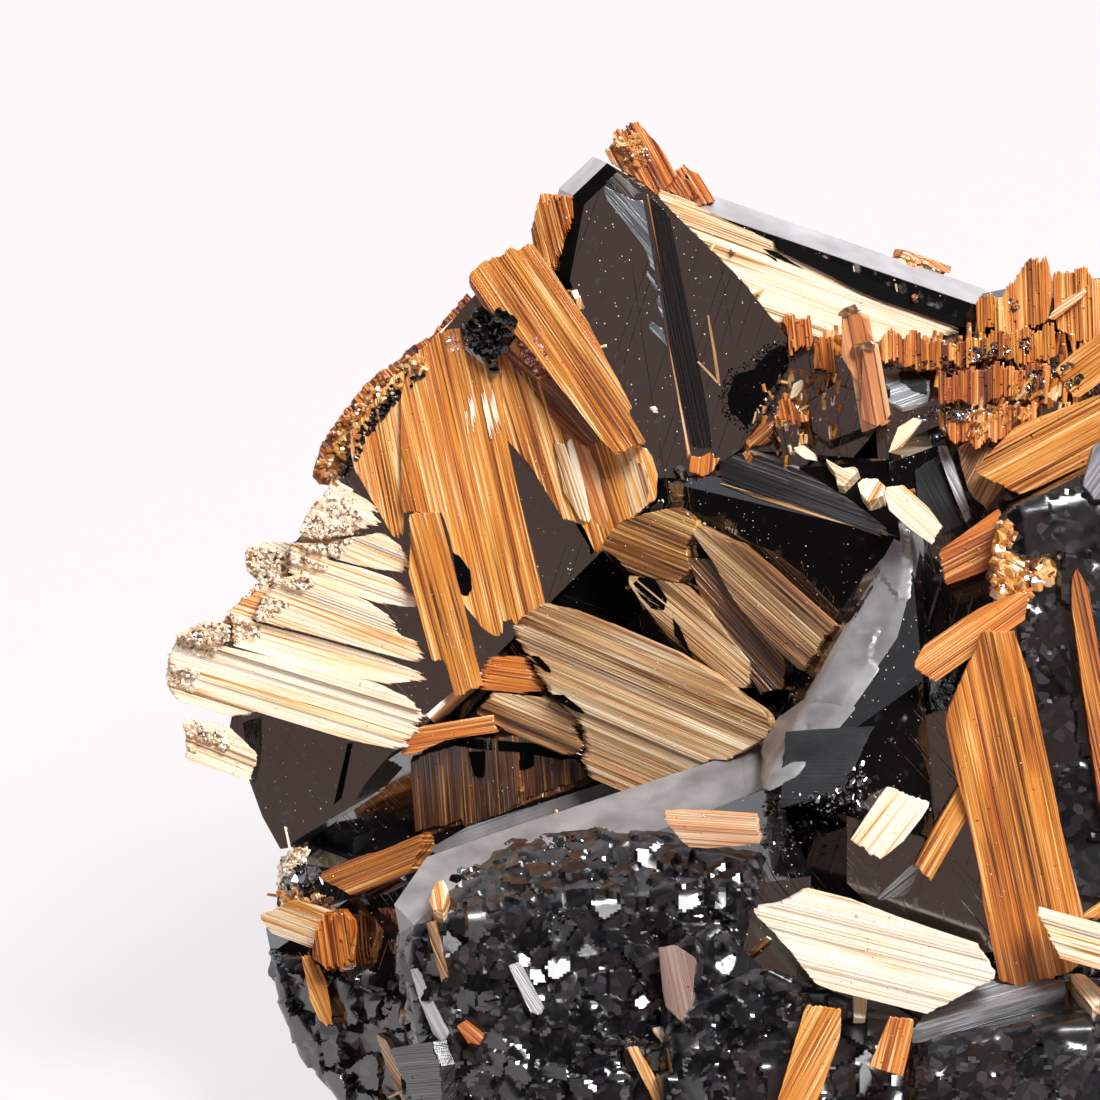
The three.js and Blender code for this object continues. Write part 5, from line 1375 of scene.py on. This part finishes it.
    "saddle_grey_bevel": (hematite_etched, -62, dict(lift=0.3, tone=(0.1, 0.6)), [
        (936, 447), (946, 446), (962, 486), (972, 520), (966, 524), (952, 492)]),
    "saddle_dark_slab": (hematite_slate, -62, dict(lift=0.12, roll=0), [
        (914, 470), (934, 456), (950, 492), (964, 524), (944, 534), (918, 510)]),
    "step_pale_streak": (rutile_cream, 34, dict(lift=0.2, tone=(0.0, 0.7), **ON_TOP), [
        (1046, 318), (1062, 302), (1083, 288), (1088, 292), (1070, 309), (1053, 321)]),
    "g_face_rim": (rutile_brown, 12, dict(lift=0.06, **ON_TOP), [
        (229, 722), (236, 712), (250, 707), (268, 706), (262, 711), (245, 713), (236, 720)]),
    "g_face_stripe": (painted_black_shade_and_reflection, 76, MATT, [
        (348, 742), (355, 742), (341, 800), (333, 806)]),
    "g_face_shade": (hematite_striated, 62, dict(lift=0.03, tone=(0.0, 0.5)), [
        (392, 752), (410, 746), (408, 762), (385, 788), (352, 802), (372, 775)]),
    "left_fill_upper": (rutile_cream, -22, dict(lift=0.3, tone=(0.0, 0.5), **ON_TOP), [
        (302, 520), (318, 500), (326, 536), (345, 540), (330, 560), (296, 575), (290, 562), (300, 545)]),
    "left_fill_low": (rutile_cream, -18, dict(lift=0.3, tone=(0.0, 0.5), **ON_TOP), [
        (226, 614), (240, 600), (262, 588), (276, 590), (262, 618), (240, 626)]),
}
# Whole faces of the hematite laid over with a film of flat colour: painted reflection of the bright room on
# the pale ones, painted shade and dark reflection on the dark ones.
FILMS = {
    "peak_bevel_film": (hematite_silver, [(585, 178)]),
    "peak_side_film": (painted_black_shade_and_reflection, [(591, 182), (571, 246)]),
    "arm_bevel_film": (hematite_pale, [(848, 250)]),
    "center_black_film": (painted_black_shade_and_reflection, [(870, 500)]),
    "g_bevel_film": (hematite_slate, [(343, 816), (359, 805)]),
    "ridge_crest_film": (hematite_crest, [(600, 811), (700, 776), (420, 880)]),
}
for name, (material, spots) in FILMS.items():
    film(name, material, spots)
for name, (material, grain, style, outline) in DRAWN.items():
    drawn(name, material, outline, grain, **style)

# Round the sides and the back: more of the same thin sheets, grown on the flat faces.
SLIM = (0.06, 0.14)      # mm, the width of a needle
SOWN = {
    "front_sheets": (rutile_amber, 10, FRONT, {}),
    "right_sheets": (rutile_orange, 16, RIGHT, {}),
    "right_needles": (rutile_amber, 22, RIGHT, dict(length=(0.8, 3.0), width=SLIM)),
    "back_sheets": (rutile_amber, 22, BACK, {}),
    "back_needles": (rutile_tan, 30, BACK, dict(length=(0.8, 3.5), width=SLIM)),
    "left_sheets": (rutile_amber, 14, LEFT, {}),
    "left_needles": (rutile_cream, 18, LEFT, dict(length=(0.8, 3.0), width=SLIM)),
}
for name, (material, count, view, form) in SOWN.items():
    sown(name, material, count, view, ends=(POINTED, STEPPED), **form)
bpy.data.objects.remove(lath)

# The hematite itself has its mirror faces.
for place in hematite_node.material_slots:
    place.material = hematite_face


# Rough, broken surfaces and druses of small crystals.

ROCK = dict(voxel=0.16, cell=1.2, rough=0.4)

# Each one's material, depth, form and outline.
SKINS = {
    "crag_broken_face": (hematite_crag, -8.0, dict(voxel=0.1, cell=0.8, rough=0.32), [
        (225, 900), (345, 955), (440, 960), (470, 1160), (225, 1160)]),
    "ridge_rough_front": (hematite_rough, -4.0, dict(voxel=0.1, cell=0.6, rough=0.32), [
        (385, 940), (512, 832), (600, 824), (660, 828), (770, 850), (740, 960), (600, 1160), (440, 1160)]),
    # Painted reflection: parts of the crest in flat grey, standing for the bright room that they mirror.
    "ridge_crest_right": (hematite_crest, -4.0, dict(voxel=0.1, cell=2.5, rough=0.1, keep=1.0), [
        (728, 742), (804, 690), (838, 690), (862, 706), (800, 780), (734, 810)]),
    "ridge_crest_upper": (hematite_crest, -4.0, dict(voxel=0.1, cell=2.5, rough=0.1, keep=1.0), [
        (788, 712), (905, 508), (928, 540), (902, 640), (846, 726)]),
    "right_rough_face": (hematite_rough, -6.0, dict(voxel=0.12, cell=1.5, rough=0.3), [
        (1000, 500), (1140, 470), (1140, 980), (1040, 980), (1010, 620)]),
    "front_low_rough": (hematite_rough, -4.0, dict(voxel=0.11, cell=0.8, rough=0.35), [
        (640, 1010), (760, 960), (900, 1010), (910, 1160), (600, 1160)]),
    "front_right_rough": (hematite_rough, -4.0, dict(voxel=0.11, cell=1.0, rough=0.3), [
        (905, 1035), (1140, 990), (1140, 1160), (900, 1160)]),
    # Broken rock where the specimen was split off, low down all round.
    "foot_front_left": (hematite_rock, -8.0, dict(view=FRONT, **ROCK), [
        (150, 1130), (560, 1130), (640, 1180), (640, 1400), (150, 1400)]),
    "foot_front_right": (hematite_rock, -8.0, dict(view=FRONT, **ROCK), [
        (620, 1190), (860, 1130), (1150, 1160), (1150, 1400), (620, 1400)]),
    "foot_right_near": (hematite_rock, 6.0, dict(view=RIGHT, **ROCK), [
        (-50, 1240), (180, 1130), (420, 1210), (420, 1400), (-50, 1400)]),
    "foot_right_far": (hematite_rock, 6.0, dict(view=RIGHT, **ROCK), [
        (400, 1200), (640, 1110), (950, 1190), (950, 1400), (400, 1400)]),
    "foot_back_right": (hematite_rock, 0.0, dict(view=BACK, **ROCK), [
        (-300, 1090), (-60, 985), (180, 1060), (180, 1300), (-300, 1300)]),
    "foot_back_middle": (hematite_rock, 0.0, dict(view=BACK, **ROCK), [
        (160, 1070), (330, 1010), (560, 1080), (560, 1300), (160, 1300)]),
    "foot_back_left": (hematite_rock, 0.0, dict(view=BACK, **ROCK), [
        (540, 1060), (760, 990), (1000, 1080), (1000, 1300), (540, 1300)]),
    "foot_left_far": (hematite_rock, -8.0, dict(view=LEFT, **ROCK), [
        (150, 1080), (430, 1010), (700, 1075), (700, 1300), (150, 1300)]),
    "foot_left_near": (hematite_rock, 0.0, dict(view=LEFT, **ROCK), [
        (680, 1090), (900, 1020), (1100, 1060), (1100, 1300), (680, 1300)]),
}
for name, (material, depth, form, outline) in SKINS.items():
    skin(name, material, outline, depth, numbers=random.Random(name), **form)

plate = plate_model()
grain = grain_model()
prism = prism_model()
numbers = random.Random("druses")

# Those that grew on the rutile too, not only on the hematite.
ON_RUTILE = {
    "rim_druse", "rim_splinters", "fan_black_lump", "fan_black_chips", "fan_red_grains_left",
    "fan_red_grains_right", "peak_crown_grains", "arm_lump_grains", "step_rim_crest", "step_rim_upper",
    "step_rim_right", "step_rim_low", "step_pale_splinters",
}

# Druses: the crystal, its material, how many, their size in mm, their form and where.
DRUSES = {
    "ridge_druse": (plate, hematite_druse, 1500, (0.08, 0.3), dict(lean=1.3), [
        (455, 880), (520, 842), (600, 826), (690, 846), (720, 900), (640, 985), (540, 960), (460, 915)]),
    "ridge_glints": (grain, hematite_druse, 150, (0.2, 0.46), dict(lean=1.4), [
        (452, 872), (475, 862), (530, 850), (580, 832), (610, 830), (600, 860), (560, 900), (570, 960),
        (590, 1000), (560, 1000), (520, 930), (470, 915)]),
    "ridge_front_glints": (grain, hematite_druse, 120, (0.2, 0.46), dict(lean=1.4), [
        (600, 1010), (660, 880), (720, 860), (740, 900), (700, 960), (660, 1090), (600, 1096)]),
    "crag_blue_tarnish": (plate, hematite_iris, 70, (0.15, 0.4), dict(lean=0.5), [
        (268, 940), (280, 950), (296, 985), (312, 1012), (324, 1044), (306, 1044), (288, 1004),
        (274, 970), (267, 955)]),
    "ridge_side_druse": (plate, hematite_druse, 240, (0.1, 0.3), dict(lean=1.0), [
        (760, 800), (830, 790), (860, 760), (870, 800), (800, 850), (760, 850)]),
    "front_low_druse": (grain, hematite_druse, 260, (0.1, 0.35), dict(lean=1.0), [
        (660, 1010), (760, 990), (850, 1010), (880, 1100), (640, 1100)]),
    "fan_black_chips": (plate, hematite_glints, 160, (0.1, 0.36), dict(lean=1.4, sink=-0.3), [
        (466, 334), (474, 314), (492, 308), (512, 320), (516, 340), (503, 358), (496, 372), (478, 352)]),
    "fan_black_lump": (grain, hematite_glints, 90, (0.2, 0.42), dict(lean=1.0, sink=0.1), [
        (462, 330), (472, 312), (492, 306), (512, 318), (518, 340), (505, 355), (496, 372), (478, 350)]),
    "fan_red_grains_left": (grain, rutile_red_grains, 90, (0.06, 0.16), dict(lean=1.0), [
        (446, 352), (448, 334), (466, 322), (470, 345), (460, 356)]),
    "fan_red_grains_right": (grain, rutile_red_grains, 170, (0.06, 0.18), dict(lean=1.0), [
        (505, 328), (520, 322), (545, 345), (552, 372), (538, 378), (520, 350)]),
    "step_black_druse_upper": (plate, hematite_druse, 320, (0.08, 0.24), dict(lean=1.0), [
        (880, 352), (940, 358), (1000, 335), (1040, 318), (1050, 335), (1000, 355), (940, 372), (880, 368)]),
    "step_black_druse_right": (plate, hematite_druse, 260, (0.08, 0.26), dict(lean=1.0), [
        (1000, 365), (1060, 352), (1075, 372), (1040, 400), (1005, 400)]),
    "step_black_druse_low": (plate, hematite_druse, 200, (0.08, 0.22), dict(lean=1.0), [
        (905, 420), (950, 402), (1000, 404), (1005, 418), (950, 424)]),
    "step_orange_splinters": (prism, rutile_splinters, 220, (0.06, 0.16),
                              dict(lean=0.25, tall=(1.5, 5.0), along=UPWARD), [
        (935, 372), (1060, 330), (1095, 330), (1095, 440), (960, 440), (935, 424)]),
    "step_rim_crest": (plate, hematite_druse, 90, (0.05, 0.16), dict(lean=1.0), [
        (986, 302), (996, 296), (1018, 300), (1020, 310), (1004, 314), (988, 312)]),
    "step_rim_upper": (plate, hematite_druse, 260, (0.05, 0.18), dict(lean=1.0), [
        (921, 362), (950, 355), (1000, 340), (1036, 338), (1042, 352), (1005, 358), (950, 372), (922, 374)]),
    "step_rim_right": (plate, hematite_druse, 220, (0.05, 0.2), dict(lean=1.0), [
        (1008, 366), (1040, 372), (1062, 356), (1082, 372), (1080, 398), (1040, 402), (1010, 388)]),
    "step_rim_low": (plate, hematite_druse, 180, (0.05, 0.18), dict(lean=1.0), [
        (926, 408), (960, 404), (1000, 406), (1004, 418), (960, 420), (928, 418)]),
    "step_pale_splinters": (prism, rutile_splinters, 110, (0.05, 0.12),
                            dict(lean=0.5, tall=(1.5, 4.5), along=UPWARD + ACROSS * 0.6), [
        (985, 386), (1027, 384), (1036, 404), (1010, 440), (984, 446), (956, 430)]),
    "peak_crown_grains": (grain, rutile_splinters, 150, (0.05, 0.17), dict(lean=1.0), [
        (610, 150), (618, 138), (634, 130), (648, 142), (656, 158), (648, 166), (624, 164), (613, 160)]),
    "arm_lump_grains": (grain, rutile_splinters, 160, (0.08, 0.26), dict(lean=1.0), [
        (890, 246), (905, 246), (935, 256), (952, 266), (948, 274), (900, 262)]),
    "crag_tan_grains": (grain, rutile_splinters, 130, (0.12, 0.34), dict(lean=0.6), [
        (277, 889), (300, 890), (330, 898), (336, 912), (300, 906), (278, 908)]),
    "saddle_splinters": (prism, rutile_splinters, 90, (0.06, 0.16),
                         dict(lean=0.4, tall=(1.5, 4.5), along=UPWARD), [
        (762, 392), (800, 372), (840, 372), (845, 430), (790, 470), (740, 470)]),
    "rim_druse": (grain, hematite_glints, 300, (0.06, 0.22), dict(lean=1.0), [
        (336, 474), (352, 434), (384, 394), (414, 366), (424, 374), (396, 402), (364, 442), (346, 486)]),
    "rim_splinters": (prism, rutile_splinters, 420, (0.06, 0.16),
                      dict(lean=1.2, tall=(0.8, 2.0)), [
        (318, 470), (342, 424), (376, 384), (408, 360), (430, 346), (426, 366), (392, 392),
        (360, 432), (332, 490)]),
    # Painted dark reflection: tiny black grains that feather the edge of the one drawn on the peak.
    "peak_dark_fringe": (grain, painted_black_shade_and_reflection, 700, (0.02, 0.09), dict(lean=1.0), [
        (785, 340), (792, 361), (770, 410), (746, 436), (734, 424), (722, 413), (718, 390),
        (728, 370), (750, 360), (764, 344)]),
    "right_orange_mass": (grain, rutile_splinters, 220, (0.15, 0.5), dict(lean=1.0), [
        (985, 530), (1030, 518), (1060, 535), (1052, 575), (1020, 602), (990, 592)]),
    "crag_cream_grains": (grain, rutile_sugar, 150, (0.12, 0.3), dict(lean=0.6), [
        (268, 868), (272, 854), (290, 848), (310, 850), (300, 866), (284, 888), (272, 882)]),
    "crag_grey_grains": (grain, hematite_druse, 60, (0.2, 0.5), dict(lean=0.8), [
        (288, 876), (300, 866), (320, 872), (322, 890), (300, 894), (288, 888)]),
    "arm_foot_columns": (prism, rutile_splinters, 160, (0.06, 0.15),
                         dict(slot="rutile_amber", lean=0.12, tall=(2.0, 5.0), along=UPWARD), [
        (790, 330), (850, 345), (960, 352), (985, 330), (985, 352), (900, 368), (800, 350)]),
}
for name, (model, material, count, size, form, outline) in DRUSES.items():
    tree = solids_tree if name in ON_RUTILE else hematite_tree
    scattered(name, material, model, places_in(outline, count, numbers, tree), size, numbers, **form)

# Sugary crusts on the left ends of the cream sheets.
CRUSTS = {
    "left_sheet_crust_low": (700, [
        (166, 640), (178, 612), (210, 598), (238, 590), (270, 606), (262, 640), (225, 640), (205, 660),
        (190, 700), (172, 690)]),
    "left_sheet_crust_high": (1000, [
        (235, 600), (262, 580), (300, 540), (335, 478), (356, 500), (362, 530), (350, 545), (325, 572),
        (300, 598), (262, 626)]),
    "left_back_stub_crust": (160, [
        (246, 560), (250, 540), (275, 540), (300, 545), (290, 575), (255, 590)]),
    "left_low_stub_crust": (150, [
        (183, 730), (190, 716), (222, 722), (236, 740), (215, 755), (190, 750)]),
}
CLEAN_TO_STAINED = 5     # clean grains to one stained
for name, (count, outline) in CRUSTS.items():
    clean = places_in(outline, count, numbers, solids_tree)
    scattered(name, rutile_sugar, grain, clean, size=(0.07, 0.19), numbers=numbers, lean=0.8)
    stained = places_in(outline, count // CLEAN_TO_STAINED, numbers, solids_tree)
    scattered(name + "_stained", rutile_stained, grain, stained,
              size=(0.06, 0.16), numbers=numbers, lean=0.8)

# Round the sides and the back: growth terraces, and druses in the notches between crystals.
ROUND = {"front": FRONT, "right": RIGHT, "back": BACK, "left": LEFT}
TERRACES = 26            # on each side, at most
TERRACE_PLACES = 400     # looked at for them
TERRACE_REACH = 0.9      # mm of bare face round the middle of each
for side, view in ROUND.items():
    terraces = []
    for place, normal in places_in(EVERYWHERE, TERRACE_PLACES, numbers, view=view):
        marks = six_ways(normal, TERRACE_REACH)
        if is_bare(place, normal, marks) and not any(in_photo(place + mark, normal) for mark in marks):
            terraces.append((place, normal))
    scattered(side + "_terraces", hematite_face, plate, terraces[:TERRACES], size=(0.8, 2.2),
              numbers=numbers, flat=(0.8, 1.3), tall=(0.12, 0.5), sink=0.0, lean=0.0, turns=(0.5, 0.5))
views = ROUND.values()
scattered("notch_druse", hematite_druse, plate, notches(views, 330, numbers),
          size=(0.12, 0.6), numbers=numbers, lean=0.9)
scattered("notch_grains", hematite_crest, grain, notches(views, 120, numbers, reach=0.5),
          size=(0.08, 0.3), numbers=numbers, lean=0.9)
scattered("notch_splinters", rutile_splinters, prism, notches(views, 100, numbers),
          size=(0.05, 0.16), numbers=numbers, lean=0.5, tall=(2.0, 6.0))

# Dust: single specks all over.
SPECKS = {"front": 3000, "right": 500, "back": 500, "left": 500}
for side, count in SPECKS.items():
    specks = places_in(EVERYWHERE, count, numbers, solids_tree, ROUND[side])
    scattered("dust_" + side, dust, grain, specks, size=(0.015, 0.045), numbers=numbers, sink=0.1)
for model in (plate, grain, prism):
    bpy.data.objects.remove(model)


# Floor, light and camera.

def floor():
    """A plain pale floor under the specimen, a white sheet lit from below."""
    bpy.ops.object.select_all(action="DESELECT")
    bpy.ops.mesh.primitive_plane_add(size=2.4)
    piece = bpy.context.object
    piece.name = "floor"
    # A white sheet with light behind it: no shadow on it is dark.
    material, tree, surface = new_material("floor_lit_white_sheet")
    surface.inputs["Base Color"].default_value = linear("#545356")
    surface.inputs["Roughness"].default_value = 0.9
    surface.inputs["Emission Color"].default_value = linear("#f4eff0")
    surface.inputs["Emission Strength"].default_value = 0.9
    piece.data.materials.append(material)


def softbox(name, direction, distance, size, radiance, colour="#ffffff"):
    """A square light that faces the specimen from a direction, with distance and size in metres."""
    data = bpy.data.lights.new(name, "AREA")
    data.shape = "SQUARE"
    data.size = size
    data.energy = radiance * math.pi * size * size
    data.color = linear(colour)[:3]
    light = bpy.data.objects.new(name, data)
    bpy.context.scene.collection.objects.link(light)
    aim = Vector((0, 0, 0.012))    # the specimen's middle
    light.location = aim + Vector(direction).normalized() * distance
    light.rotation_euler = (aim - light.location).to_track_quat("-Z", "Y").to_euler()
    light.visible_camera = False


def surroundings():
    """A white room above and behind the specimen, dark on the viewer's side."""
    world = bpy.data.worlds.new("studio")
    world.use_nodes = True
    bpy.context.scene.world = world
    tree = world.node_tree
    direction = add(tree, "ShaderNodeTexCoord").outputs["Generated"]
    split = add(tree, "ShaderNodeSeparateXYZ", {"Vector": direction})
    behind = add(tree, "ShaderNodeMapRange", {
        "Value": split.outputs["Y"], "From Min": -0.1, "From Max": 0.6, "To Min": 0.0, "To Max": 1.0,
    }).outputs["Result"]
    colour = add(tree, "ShaderNodeValToRGB", {"Fac": behind}, [
        (0.0, "#1a1614"), (0.5, "#8b8a90"), (1.0, "#e8e8ee"),
    ]).outputs["Color"]
    tree.links.new(colour, tree.nodes["Background"].inputs["Color"])
    tree.nodes["Background"].inputs["Strength"].default_value = 1.0


def camera():
    """A long lens square to the view's middle, with no shift."""
    data = bpy.data.cameras.new("camera")
    distance = 1000.0    # mm
    data.sensor_width = 36.0
    data.sensor_fit = "HORIZONTAL"
    data.lens = data.sensor_width * distance / (PIXELS / PER_MM)
    data.clip_start = 0.05
    data.clip_end = 20.0
    viewer = bpy.data.objects.new("camera", data)
    bpy.context.scene.collection.objects.link(viewer)
    viewer.location = (VIEW_MIDDLE + TOWARD * distance) * MM
    viewer.rotation_euler = (math.pi / 2 - ELEVATION, 0, 0)
    bpy.context.scene.camera = viewer


floor()
softbox("key_softbox", ACROSS * 0.4 + UPWARD * 0.75 + TOWARD * 0.65, distance=0.5, size=0.22, radiance=30.0)
softbox("viewer_side_card", TOWARD, distance=0.7, size=0.4, radiance=0.26, colour="#ffd6c8")
surroundings()
camera()
bpy.context.scene.view_settings.view_transform = "Standard"
